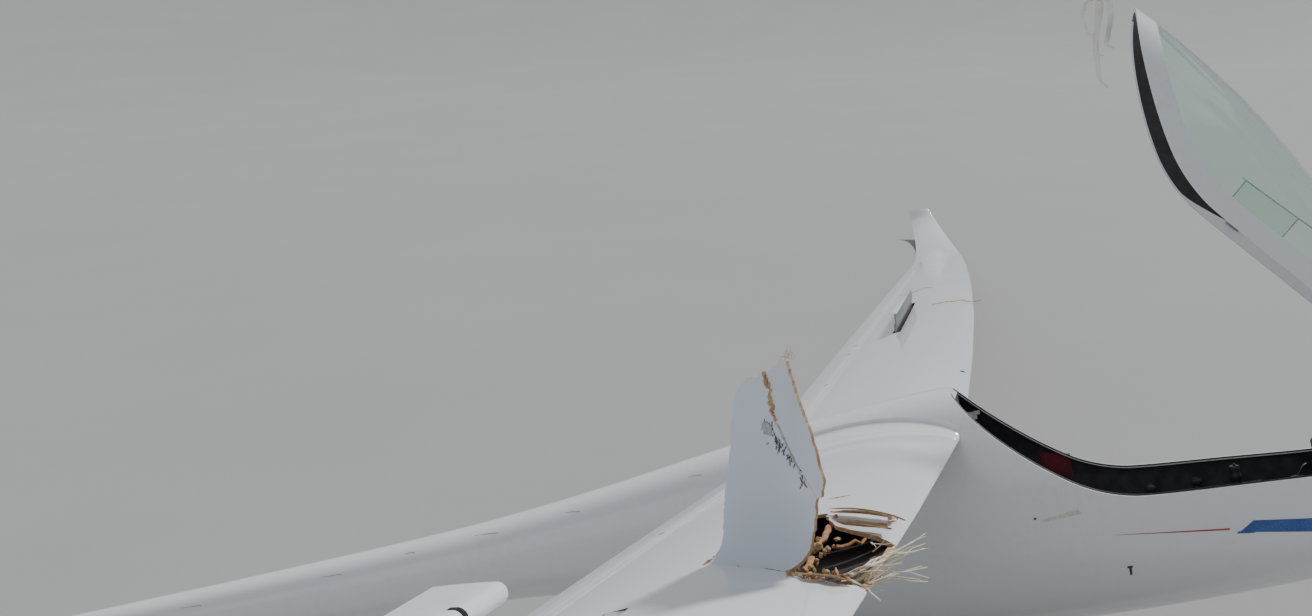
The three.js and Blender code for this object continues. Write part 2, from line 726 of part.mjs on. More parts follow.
// The upper skin at the hole's outer edge, bent up through a right angle
function tornPanel(side) {
  const { bend } = TORN;
  const quarter = (bend * Math.PI) / 2;
  const bent = (along, off) => {
    if (along < quarter) {
      const angle = along / bend;
      return [(bend - off) * Math.sin(angle), bend - (bend - off) * Math.cos(angle)];
    }
    return [bend - off, bend + along - quarter];
  };
  const shape = new THREE.Shape(TORN_PANEL.map(([forward, along]) => new THREE.Vector2(forward, along)));
  const flat = new THREE.ExtrudeGeometry(shape, { depth: SKIN, bevelEnabled: false });
  const geometry = geometryOf(solid(flat).refineToLength(40));
  const position = geometry.getAttribute("position");
  for (let i = 0; i < position.count; i++) {
    const [forward, along, off] = [position.getX(i), position.getY(i), position.getZ(i)];
    const [inward, up] = bent(along, off);
    const [st, y] = tornLine(forward, bend - inward);
    const z = skinHeight(...tornLine(forward, bend)) + up - SKIN;
    position.setXYZ(i, -st, side * y, z);
  }
  return solid(geometry);
}

// Tail surfaces

function rudder() {
  const rings = [FIN.rudderFoot, FIN.rudderHead].map(({ z, chord }) => {
    const nose = [90, 116, 142, 168, 192, 218, 244, 270].map((degrees) => {
      const angle = THREE.MathUtils.degToRad(degrees);
      return at(finHinge(z) + rudderRadius(z) * Math.cos(angle), rudderRadius(z) * Math.sin(angle), z);
    });
    return [at(finHinge(z) + chord, 1.8, z), ...nose, at(finHinge(z) + chord, -1.8, z)];
  });
  const notches = FIN.hinges.map((z) => onHinge(hingeNotch(rudderRadius(z)), at(finHinge(z), 0, z), rudderAxis()));
  return notches.reduce((sum, notch) => sum.subtract(notch), loft(rings));
}

const elevatorRadius = (y) => {
  const chord = TAILPLANE.rootChord + ((TAILPLANE.tipChord - TAILPLANE.rootChord) * Math.abs(y)) / TAILPLANE.half;
  const share = (TAILPLANE.hinge - TAILPLANE.lead) / TAILPLANE.rootChord;
  return halfThickness(share, TAILPLANE.thickness) * chord;
};

function onTailHinge(made, y) {
  return onHinge(made, at(TAILPLANE.hinge, y, TAILPLANE.z), new THREE.Vector3(0, 1, 0));
}

function tailplane() {
  const arms = TAILPLANE.hinges.map((y) => onTailHinge(hingeArm(elevatorRadius(y) + 26), y));
  return joinAll([tailSurface(false), ...arms]);
}

function elevator() {
  const notches = TAILPLANE.hinges.map((y) => onTailHinge(hingeNotch(elevatorRadius(y)), y));
  return notches.reduce((sum, notch) => sum.subtract(notch), tailSurface(true));
}

function tailSurface(round) {
  const stops = [-TAILPLANE.half, -TAILPLANE.half * 0.5, 0, TAILPLANE.half * 0.5, TAILPLANE.half];
  const rings = stops.map((y) => {
    const out = Math.abs(y) / TAILPLANE.half;
    const chord = TAILPLANE.rootChord + (TAILPLANE.tipChord - TAILPLANE.rootChord) * out;
    const share = (TAILPLANE.hinge - TAILPLANE.lead) / TAILPLANE.rootChord;
    const lead = TAILPLANE.hinge - share * chord;
    const radius = halfThickness(share, TAILPLANE.thickness) * chord;
    if (round) {
      const nose = [90, 130, 170, 190, 230, 270].map((degrees) => {
        const angle = THREE.MathUtils.degToRad(degrees);
        return at(TAILPLANE.hinge + radius * Math.cos(angle), y, TAILPLANE.z + radius * Math.sin(angle));
      });
      return [at(lead + chord, y, TAILPLANE.z + 1.5), ...nose, at(lead + chord, y, TAILPLANE.z - 1.5)];
    }
    const end = (share * chord - radius - RUNNING) / chord;
    const list = Array.from({ length: 10 }, (_, i) => end * (1 - i / 9) ** 1.6).slice(0, -1);
    const upper = list.map((x) => at(lead + x * chord, y, TAILPLANE.z + halfThickness(x, TAILPLANE.thickness) * chord));
    const lower = [...list].reverse().map((x) => at(lead + x * chord, y, TAILPLANE.z - halfThickness(x, TAILPLANE.thickness) * chord));
    return [...upper, at(lead, y, TAILPLANE.z + 0.4), at(lead, y, TAILPLANE.z - 0.4), ...lower];
  });
  return loft(rings);
}

// Undercarriage

// A tyre with grooves round its tread, each given by its distance from the middle plane
function tyre({ station, axle, radius, tyre: width, rim, grooves }, sides) {
  const bead = rim + 4;
  const w = width / 2;
  const { deep, half } = GROOVE;
  const tread = grooves.flatMap((y) => [
    [radius, y - half],
    [radius - deep, y - half * 0.5],
    [radius - deep, y + half * 0.5],
    [radius, y + half],
  ]);
  const profileOf = [
    [bead, -w * 0.52],
    [radius * 0.78, -w * 0.94],
    [radius * 0.9, -w],
    [radius * 0.965, -w * 0.8],
    [radius, -w * 0.38],
    ...tread,
    [radius, w * 0.38],
    [radius * 0.965, w * 0.8],
    [radius * 0.9, w],
    [radius * 0.78, w * 0.94],
    [bead, w * 0.52],
  ];
  return turned(profileOf, station, axle, sides);
}

function wheelHub({ station, axle, rim, width }, bore, sides) {
  const w = width / 2;
  const profileOf = [
    [bore, -w],
    [rim * 0.42, -w],
    [rim * 0.5, -w * 0.55],
    [rim * 0.86, -w * 0.6],
    [rim * 0.92, -w],
    [rim + 3.6, -w],
    [rim + 3.6, w],
    [rim * 0.92, w],
    [rim * 0.86, w * 0.6],
    [rim * 0.5, w * 0.55],
    [rim * 0.42, w],
    [bore, w],
  ];
  return turned(profileOf, station, axle, sides);
}

function mainFork() {
  const { station, axle, tyre: width } = MAIN;
  const reach = width / 2 + 20;
  const collars = [-1, 1].map((side) => {
    const inner = MAIN.width / 2 + CONTACT;
    return bar(at(station, side * inner, axle), at(station, side * (reach - 4), axle), 23, 12);
  });
  const legs = [-1, 1].flatMap((side) => [
    bar(at(station, side * reach, axle), at(station - 70, side * reach, BAY.roof - CONTACT - 8), 13, 8),
    bar(at(station, side * reach, axle), at(station + 150, side * reach, BAY.roof - CONTACT - 8), 10, 8),
  ]);
  const shaft = bar(at(station, -reach - 16, axle), at(station, reach + 16, axle), 15, 16);
  const beam = block(station + 40, 0, BAY.roof - 9 - CONTACT, 260, 2 * reach + 20, 18);
  return joinAll([...legs, ...collars, shaft, beam]);
}

function tailAxle() {
  const { station, axle, width } = TAILWHEEL;
  const reach = TAIL_BAY.half - CONTACT;
  const inner = width / 2 + CONTACT;
  const collars = [-1, 1].map((side) => bar(at(station, side * inner, axle), at(station, side * reach, axle), 14, 16));
  return joinAll([bar(at(station, -reach, axle), at(station, reach, axle), 9, 16), ...collars]);
}

function gearDoor(side) {
  const wall = BAY.half - CONTACT;
  const outline = [
    [wall, -312],
    [wall, -354],
    [wall + 26, -470],
    [wall + 30, -500],
    [wall + 25, -500],
    [wall + 21, -470],
    [wall - 5, -354],
    [wall - 5, -312],
  ].map(([y, z]) => [side * y, z]);
  const turn = new THREE.Matrix4().makeBasis(
    new THREE.Vector3(0, 1, 0),
    new THREE.Vector3(0, 0, 1),
    new THREE.Vector3(1, 0, 0),
  );
  turn.setPosition(-(BAY.to - 10), 0, 0);
  return plate(outline, BAY.to - BAY.from - 20, turn);
}

// Cockpit

// What lies in the tub is trimmed to its walls
function inTub(made) {
  const stations = HULL_STATIONS.filter((st) => st >= TUB.from && st <= TUB.to);
  return made.intersect(fuselageHull(stations, SHELL + CONTACT));
}

// A point by its height on the sloping bulkhead and its distance ahead of it
function onBulkhead(z, ahead) {
  const rise = BULKHEAD.high - BULKHEAD.low;
  const run = BULKHEAD.top - BULKHEAD.foot;
  const length = Math.hypot(rise, run);
  const st = BULKHEAD.foot + ((z - BULKHEAD.low) * run) / rise;
  return [st - (ahead * rise) / length, z + (ahead * run) / length];
}

function seatPan() {
  const outline = [
    [720, -252],
    [900, -306],
    [1120, -306],
    [1300, -282],
    onBulkhead(-262, CONTACT),
    onBulkhead(-282, CONTACT),
    [1300, -298],
    [1120, -322],
    [895, -322],
    [715, -268],
  ];
  return inTub(sidePlate(outline, -300, 300));
}

function seatBack() {
  const outline = [
    onBulkhead(-256, CONTACT),
    onBulkhead(176, CONTACT),
    onBulkhead(170, 34),
    onBulkhead(60, 44),
    onBulkhead(-120, 30),
    onBulkhead(-270, 26),
  ];
  return inTub(sidePlate(outline, -192, 192));
}

function headrest() {
  const outline = [onBulkhead(178, CONTACT), onBulkhead(292, CONTACT), onBulkhead(280, 40), onBulkhead(178, 46)];
  return inTub(sidePlate(outline, -98, 98));
}

function instrumentPanel() {
  const pod = [
    [520, -60],
    [530, 74],
    [600, 108],
    [690, 128],
    [716, 112],
    [704, -46],
    [690, -60],
  ];
  const foot = [
    [560, -50],
    [575, -400],
    [650, -400],
    [680, -50],
  ];
  return inTub(sidePlate(pod, -150, 150).add(sidePlate(foot, -42, 42)));
}

function controlStick() {
  const boot = bar(at(960, 0, -306 + CONTACT), at(960, 0, -258), 34, 14, 15);
  const stem = bar(at(960, 0, -266), at(985, 0, -30), 12, 12);
  const grip = bar(at(985, 0, -36), at(992, 0, 74), 20, 12, 16);
  return joinAll([boot, stem, grip]);
}

function leverRail() {
  const rail = inTub(block(1130, 270, -52, 520, 70, 18));
  const levers = [960, 1110, 1280].map((station) =>
    block(station, 230, -30, 14, 14, 44).add(bar(at(station, 208, -12), at(station, 238, -12), 13, 12)),
  );
  return joinAll([rail, ...levers]);
}

function pedals() {
  const tube = inTub(bar(at(430, -240, -160), at(430, 240, -160), 9, 12));
  const pads = [-1, 1].map((side) => block(440, side * 72, -120, 14, 70, 110, -0.35));
  return joinAll([tube, ...pads]);
}

// Small fittings

function towHook() {
  const hull = fuselageHull(
    HULL_STATIONS.filter((st) => st >= 1400 && st <= 2070),
    -CONTACT,
  );
  return block(1700, 0, -384, 90, 26, 44).subtract(hull);
}

function probe() {
  const lead = FIN.foot.lead + ((FIN.head.lead - FIN.foot.lead) * (673 - FIN.foot.z)) / (FIN.head.z - FIN.foot.z);
  return bar(at(lead, 0, 680), at(5700, 0, 700), 7, 10, 5);
}

// The airframe as a list of named pieces

const LEFT = 1;
const RIGHT = -1;

const PIECES = [
  ["fuselage", fuselage, WHITE],
  ["canopy_frame", canopyFrame, WHITE],
  ["canopy_glass", canopyGlass, GLASS],
  ["seat_pan", seatPan, LINER],
  ["seat_back", seatBack, RED_CLOTH],
  ["headrest", headrest, RED_CLOTH],
  ["instrument_panel", instrumentPanel, LINER],
  ["control_stick", controlStick, CARBON],
  ["lever_rail", leverRail, METAL],
  ["rudder_pedals", pedals, METAL],
  ["left_wing", () => wingMain(LEFT).subtract(brakeSlot(LEFT)), WHITE],
  ["left_wing_tip", () => wingTip(LEFT), WHITE],
  ["left_flap", () => flap(LEFT, FLAP), WHITE],
  ["left_aileron", () => flap(LEFT, AILERON), WHITE],
  ["left_airbrake", () => airbrake(LEFT, BRAKE_RAISED), WHITE],
  ["left_airbrake_blade", () => lowerBlade(LEFT, BRAKE_RAISED / 2), WHITE],
  ["right_wing", () => tornWing(RIGHT).subtract(brakeSlot(RIGHT)), WHITE],
  ["right_wing_tip", () => wingTip(RIGHT), WHITE],
  ["right_flap", () => flap(RIGHT, FLAP), WHITE],
  ["right_aileron", tornAileron, WHITE],
  ["right_airbrake", () => airbrake(RIGHT, 0), WHITE],
  ["right_airbrake_blade", () => lowerBlade(RIGHT, 0), WHITE],
  ["right_torn_panel", () => tornPanel(RIGHT), WHITE],
  ["tailplane", tailplane, WHITE],
  ["elevator", elevator, WHITE],
  ["rudder", rudder, WHITE],
  ["main_fork", mainFork, METAL],
  ["main_hub", () => wheelHub(MAIN, 15.5, 32), METAL],
  ["main_tyre", () => tyre(MAIN, 40), RUBBER],
  ["left_gear_door", () => gearDoor(LEFT), WHITE],
  ["right_gear_door", () => gearDoor(RIGHT), WHITE],
  ["tail_axle", tailAxle, METAL],
  ["tail_hub", () => wheelHub(TAILWHEEL, 9.5, 24), METAL],
  ["tail_tyre", () => tyre(TAILWHEEL, 32), RUBBER],
  ["tow_hook", towHook, METAL],
  ["probe", probe, METAL],
];

const airframe = new THREE.Group();
const pieces = {};
for (const [name, make, look] of PIECES) {
  const mesh = new THREE.Mesh(geometryOf(make()), new THREE.MeshStandardMaterial(look));
  mesh.name = name;
  pieces[name] = mesh;
  airframe.add(mesh);
}

// A marker on each hinge line and axle, with its y axis along the line
function mark(name, point, axis) {
  const marker = new THREE.Object3D();
  marker.name = name;
  marker.position.copy(point);
  marker.quaternion.setFromUnitVectors(new THREE.Vector3(0, 1, 0), axis);
  airframe.add(marker);
}

const ACROSS = new THREE.Vector3(0, 1, 0);
mark("canopy_hinge", at(CANOPY.hinge[0], 0, CANOPY.hinge[1]), ACROSS);
mark("main_wheel", at(MAIN.station, 0, MAIN.axle), ACROSS);
mark("tail_wheel", at(TAILWHEEL.station, 0, TAILWHEEL.axle), ACROSS);
mark("elevator_hinge", at(TAILPLANE.hinge, 0, TAILPLANE.z), ACROSS);
mark("rudder_hinge", at(finHinge(540), 0, 540), rudderAxis());
for (const [word, side] of [
  ["left", LEFT],
  ["right", RIGHT],
]) {
  for (const [part, y] of [
    ["flap", FLAP.hinges[1]],
    ["aileron", AILERON.hinges[1]],
  ])
    mark(`${word}_${part}_hinge`, at(HINGE_STATION, side * y, hingeHeight(y)), wingAxis(side));
  const y = (BRAKE.from + BRAKE.to) / 2;
  mark(`${word}_airbrake_slide`, at(HINGE_STATION - 0.35 * chordAt(y), side * y, hingeHeight(y)), new THREE.Vector3(0, 0, 1));
}
mark("seat", at(1060, 0, -306), new THREE.Vector3(0, 0, 1));
mark("tow_point", at(1700, 0, -406), new THREE.Vector3(0, 0, -1));

// The airframe is leaned until its lowest points under all three feet are at one height

function lowestOf(mesh, up) {
  const position = mesh.geometry.getAttribute("position");
  const point = new THREE.Vector3();
  let lowest = null;
  for (let i = 0; i < position.count; i++) {
    point.fromBufferAttribute(position, i);
    if (!lowest || point.dot(up) < lowest.dot(up)) lowest = point.clone();
  }
  return lowest;
}

function settle() {
  let up = new THREE.Vector3(0, 0, 1);
  let feet = [];
  for (let round = 0; round < 12; round++) {
    feet = FEET.map((name) => lowestOf(pieces[name], up));
    const [main, tail, tip] = feet;
    up = new THREE.Vector3().crossVectors(tip.clone().sub(main), tail.clone().sub(main)).normalize();
    if (up.z < 0) up.negate();
  }
  const ahead = new THREE.Vector3(1, 0, 0).addScaledVector(up, -up.x).normalize();
  const left = new THREE.Vector3().crossVectors(up, ahead);
  const turn = new THREE.Matrix4().makeBasis(ahead, left, up).transpose();
  airframe.quaternion.setFromRotationMatrix(turn);
  const box = new THREE.Box3().setFromObject(airframe, true);
  const middle = box.getCenter(new THREE.Vector3());
  airframe.position.set(-middle.x, -middle.y, -box.min.z);
}

settle();

const sailplane = new THREE.Group();
sailplane.add(airframe);

export default sailplane;
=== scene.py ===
"""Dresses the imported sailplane: smooth skins, finishes, cockpit, damage, camera and light."""

import json
import logging
import math
import random
from dataclasses import dataclass
from enum import Enum
from typing import Optional, Sequence

import bmesh
import bpy
from mathutils import Euler, Matrix, Vector

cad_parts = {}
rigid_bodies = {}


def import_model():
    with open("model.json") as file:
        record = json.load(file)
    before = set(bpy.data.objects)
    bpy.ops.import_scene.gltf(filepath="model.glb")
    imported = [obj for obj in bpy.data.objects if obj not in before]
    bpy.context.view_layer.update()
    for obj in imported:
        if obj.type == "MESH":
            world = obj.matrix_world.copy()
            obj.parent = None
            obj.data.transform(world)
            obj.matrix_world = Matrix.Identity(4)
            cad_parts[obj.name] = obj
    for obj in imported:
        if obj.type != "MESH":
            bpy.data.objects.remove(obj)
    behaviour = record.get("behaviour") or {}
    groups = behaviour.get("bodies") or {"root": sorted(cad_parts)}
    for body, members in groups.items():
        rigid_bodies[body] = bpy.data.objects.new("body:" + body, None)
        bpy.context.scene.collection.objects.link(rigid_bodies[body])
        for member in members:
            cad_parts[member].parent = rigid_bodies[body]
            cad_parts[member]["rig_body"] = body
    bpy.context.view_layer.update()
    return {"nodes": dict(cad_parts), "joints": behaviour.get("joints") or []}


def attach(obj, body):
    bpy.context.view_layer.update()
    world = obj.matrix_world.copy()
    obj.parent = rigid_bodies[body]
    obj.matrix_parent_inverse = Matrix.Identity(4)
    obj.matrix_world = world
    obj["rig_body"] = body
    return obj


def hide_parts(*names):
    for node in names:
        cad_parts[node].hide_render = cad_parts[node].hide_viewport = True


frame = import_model()

log = logging.getLogger("sailplane")
MM = 0.001


class Side(Enum):
    """A side of the airframe, by the sign of its distance to the left."""

    LEFT = 1
    RIGHT = -1

    @property
    def word(self) -> str:
        """The side's name as the pieces use it."""
        return self.name.lower()


class Body(str, Enum):
    """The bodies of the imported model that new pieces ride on."""

    AIRFRAME = "airframe"
    CANOPY = "canopy"
    MAIN_WHEEL = "main_wheel"
    TAIL_WHEEL = "tail_wheel"


# ---------------------------------------------------------------- the airframe's own axes


class Attitude:
    """Where the level airframe lies in the row's frame, read from its two axles."""

    MAIN = (2040.0, -446.0)
    TAIL = (6270.0, -62.0)

    def __init__(self, joints: Sequence[dict]) -> None:
        """Works out the axes.

        Args:
            joints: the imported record's joints.
        """
        found = {joint["name"]: joint for joint in joints}
        main, tail = found["main_wheel_spin"], found["tail_wheel_spin"]
        self.origin = Vector(main["pos_m"])
        across = Vector(main["axis"]).normalized()
        along = (Vector(tail["pos_m"]) - self.origin) / MM
        aft, up = self.TAIL[0] - self.MAIN[0], self.TAIL[1] - self.MAIN[1]
        other = across.cross(along)
        reach = aft * aft + up * up
        ahead = ((other * up - along * aft) / reach).normalized()
        above = ((other * aft + along * up) / reach).normalized()
        self.turn = Matrix((ahead, across, above)).transposed()
        start = self.origin - self.turn @ (Vector((-self.MAIN[0], 0, self.MAIN[1])) * MM)
        self.matrix = Matrix.Translation(start) @ self.turn.to_4x4() @ Matrix.Scale(MM, 4)

    def place(self, station: float, y: float, z: float) -> Vector:
        """A point of the airframe in the row's frame, in metres."""
        return self.matrix @ Vector((-station, y, z))

    def direction(self, x: float, y: float, z: float) -> Vector:
        """A direction of the airframe in the row's frame."""
        return self.turn @ Vector((x, y, z))


ATTITUDE = Attitude(frame["joints"])


def at(station: float, y: float, z: float) -> Vector:
    """A point of the level airframe in millimetres, with x towards the nose."""
    return Vector((-station, y, z))


# ---------------------------------------------------------------- finishes


class Nodes:
    """A node material under construction."""

    def __init__(self, name: str) -> None:
        """Starts a material with a plain shader and object coordinates in metres."""
        self.material = bpy.data.materials.new(name)
        self.material.use_nodes = True
        self.tree = self.material.node_tree
        self.shader = self.tree.nodes["Principled BSDF"]
        self.coords = self.add("ShaderNodeTexCoord").outputs["Object"]

    def add(self, kind: str, **values: object) -> bpy.types.Node:
        """Adds a node and sets its properties.

        Args:
            kind: the node's type.
            values: property names with their values.

        Returns:
            The node.
        """
        node = self.tree.nodes.new(kind)
        for key, value in values.items():
            setattr(node, key, value)
        return node

    def link(self, source: bpy.types.NodeSocket, target: bpy.types.NodeSocket) -> None:
        """Joins an output to an input."""
        self.tree.links.new(source, target)

    def airframe(self) -> bpy.types.NodeSocket:
        """Coordinates along the level airframe's axes, in metres."""
        back = ATTITUDE.turn.transposed()
        start = ATTITUDE.matrix.translation
        node = self.add("ShaderNodeMapping")
        node.inputs["Rotation"].default_value = back.to_euler()
        node.inputs["Location"].default_value = -(back @ start)
        self.link(self.coords, node.inputs["Vector"])
        return node.outputs["Vector"]

    def noise(self, scale: float, detail: float = 3.0, stretch: Optional[Vector] = None,
              source: Optional[bpy.types.NodeSocket] = None, roughness: float = 0.55) -> bpy.types.NodeSocket:
        """A noise field.

        Args:
            scale: how many features a metre has.
            detail: octaves.
            stretch: scale along each axis.
            source: the coordinates, or the object's own.
            roughness: strength of the finer octaves.

        Returns:
            The field from 0 to 1.
        """
        node = self.add("ShaderNodeTexNoise")
        node.inputs["Scale"].default_value = scale
        node.inputs["Detail"].default_value = detail
        node.inputs["Roughness"].default_value = roughness
        vector = source or self.coords
        if stretch is not None:
            mapping = self.add("ShaderNodeMapping")
            mapping.inputs["Scale"].default_value = stretch
            self.link(vector, mapping.inputs["Vector"])
            vector = mapping.outputs["Vector"]
        self.link(vector, node.inputs["Vector"])
        return node.outputs["Fac"]

    def band(self, value: bpy.types.NodeSocket, low: float, high: float,
             to_low: float = 0.0, to_high: float = 1.0) -> bpy.types.NodeSocket:
        """Maps a stretch of a field onto another range, held at its ends."""
        node = self.add("ShaderNodeMapRange")
        for socket, number in zip(("From Min", "From Max", "To Min", "To Max"), (low, high, to_low, to_high)):
            node.inputs[socket].default_value = number
        self.link(value, node.inputs["Value"])
        return node.outputs["Result"]

    def math(self, operation: str, *values: object) -> bpy.types.NodeSocket:
        """One step of arithmetic on fields and numbers."""
        node = self.add("ShaderNodeMath", operation=operation)
        for socket, value in zip(node.inputs, values):
            if isinstance(value, bpy.types.NodeSocket):
                self.link(value, socket)
            else:
                socket.default_value = value
        return node.outputs["Value"]

    def mix(self, share: bpy.types.NodeSocket, first: object, second: object) -> bpy.types.NodeSocket:
        """Mixes two colours by a field."""
        node = self.add("ShaderNodeMix", data_type="RGBA")
        self.link(share, node.inputs["Factor"])
        for socket, value in ((node.inputs[6], first), (node.inputs[7], second)):
            if isinstance(value, bpy.types.NodeSocket):
                self.link(value, socket)
            else:
                socket.default_value = (*value, 1.0)
        return node.outputs[2]

    def bump(self, height: bpy.types.NodeSocket, strength: float, distance: float) -> None:
        """Raises the surface by a field, over whatever bump is there already."""
        node = self.add("ShaderNodeBump")
        node.inputs["Strength"].default_value = strength
        node.inputs["Distance"].default_value = distance
        self.link(height, node.inputs["Height"])
        if self.shader.inputs["Normal"].links:
            self.link(self.shader.inputs["Normal"].links[0].from_socket, node.inputs["Normal"])
        self.link(node.outputs["Normal"], self.shader.inputs["Normal"])

    def set(self, **values: float) -> None:
        """Sets the shader's own sockets, with underscores for spaces."""
        for key, value in values.items():
            self.shader.inputs[key.replace("_", " ")].default_value = value


@dataclass(frozen=True)
class GelCoat:
    """White polished gelcoat with a faint waviness, haze and dust."""

    name: str = "gelcoat"
    clean: tuple = (0.80, 0.815, 0.83)
    dull: tuple = (0.70, 0.71, 0.715)
    roughness: tuple = (0.07, 0.2)

    def make(self) -> bpy.types.Material:
        """Builds the material."""
        n = Nodes(self.name)
        haze = n.noise(2.6, 5.0, Vector((1.0, 0.35, 1.0)))
        dust = n.noise(38.0, 6.0, Vector((1.0, 0.5, 1.0)))
        dirt = n.math("MULTIPLY", n.band(haze, 0.42, 0.75), n.band(dust, 0.45, 0.8))
        n.link(n.mix(dirt, self.clean, self.dull), n.shader.inputs["Base Color"])
        n.link(n.band(haze, 0.3, 0.75, *self.roughness), n.shader.inputs["Roughness"])
        n.bump(n.noise(5.5, 2.0, Vector((1.0, 0.25, 1.0))), 0.16, 0.004)
        n.set(Coat_Weight=0.35, Coat_Roughness=0.04)
        return n.material


@dataclass(frozen=True)
class Plain:
    """A finish of one colour with a fine grain, worn lighter or darker in patches."""

    name: str
    colour: tuple
    worn: tuple
    roughness: tuple = (0.4, 0.6)
    grain: float = 300.0
    bump: float = 0.12
    metallic: float = 0.0
    patch: float = 18.0
    stretch: tuple = (1.0, 1.0, 1.0)

    def make(self) -> bpy.types.Material:
        """Builds the material."""
        n = Nodes(self.name)
        patch = n.noise(self.patch, 6.0, Vector(self.stretch))
        grain = n.noise(self.grain, 3.0, Vector(self.stretch))
        n.link(n.mix(n.band(patch, 0.4, 0.72), self.colour, self.worn), n.shader.inputs["Base Color"])
        n.link(n.band(grain, 0.3, 0.7, *self.roughness), n.shader.inputs["Roughness"])
        n.bump(grain, self.bump, 0.0015)
        n.set(Metallic=self.metallic)
        return n.material


@dataclass(frozen=True)
class Plexi:
    """Clear canopy sheet with a faint green tint."""

    name: str = "plexi"

    def make(self) -> bpy.types.Material:
        """Builds the material."""
        n = Nodes(self.name)
        haze = n.noise(6.0, 4.0)
        n.link(n.band(haze, 0.3, 0.8, 0.02, 0.09), n.shader.inputs["Roughness"])
        n.set(Base_Color=(0.86, 0.95, 0.91, 1.0), Transmission_Weight=1.0, IOR=1.1, Specular_IOR_Level=0.9,
              Coat_Weight=0.6, Coat_Roughness=0.03)
        return n.material


@dataclass(frozen=True)
class Weave:
    """Cloth or bare laminate with crossed threads."""

    name: str
    colour: tuple
    thread: tuple
    threads: float = 900.0
    roughness: float = 0.75
    sheen: float = 0.0
    turned: float = 0.0

    def make(self) -> bpy.types.Material:
        """Builds the material."""
        n = Nodes(self.name)
        turn = n.add("ShaderNodeMapping")
        turn.inputs["Rotation"].default_value = Euler((0.2, 0.1, self.turned))
        n.link(n.coords, turn.inputs["Vector"])
        waves = []
        for axis in ("X", "Y"):
            wave = n.add("ShaderNodeTexWave", bands_direction=axis)
            wave.inputs["Scale"].default_value = self.threads / 20
            wave.inputs["Distortion"].default_value = 0.6
            n.link(turn.outputs["Vector"], wave.inputs["Vector"])
            waves.append(wave.outputs["Fac"])
        cross = n.math("MAXIMUM", *waves)
        shade = n.math("MULTIPLY", cross, n.band(n.noise(12.0, 5.0), 0.3, 0.7, 0.5, 1.0))
        n.link(n.mix(shade, self.colour, self.thread), n.shader.inputs["Base Color"])
        n.bump(cross, 0.35, 0.0012)
        n.set(Roughness=self.roughness, Sheen_Weight=self.sheen)
        return n.material


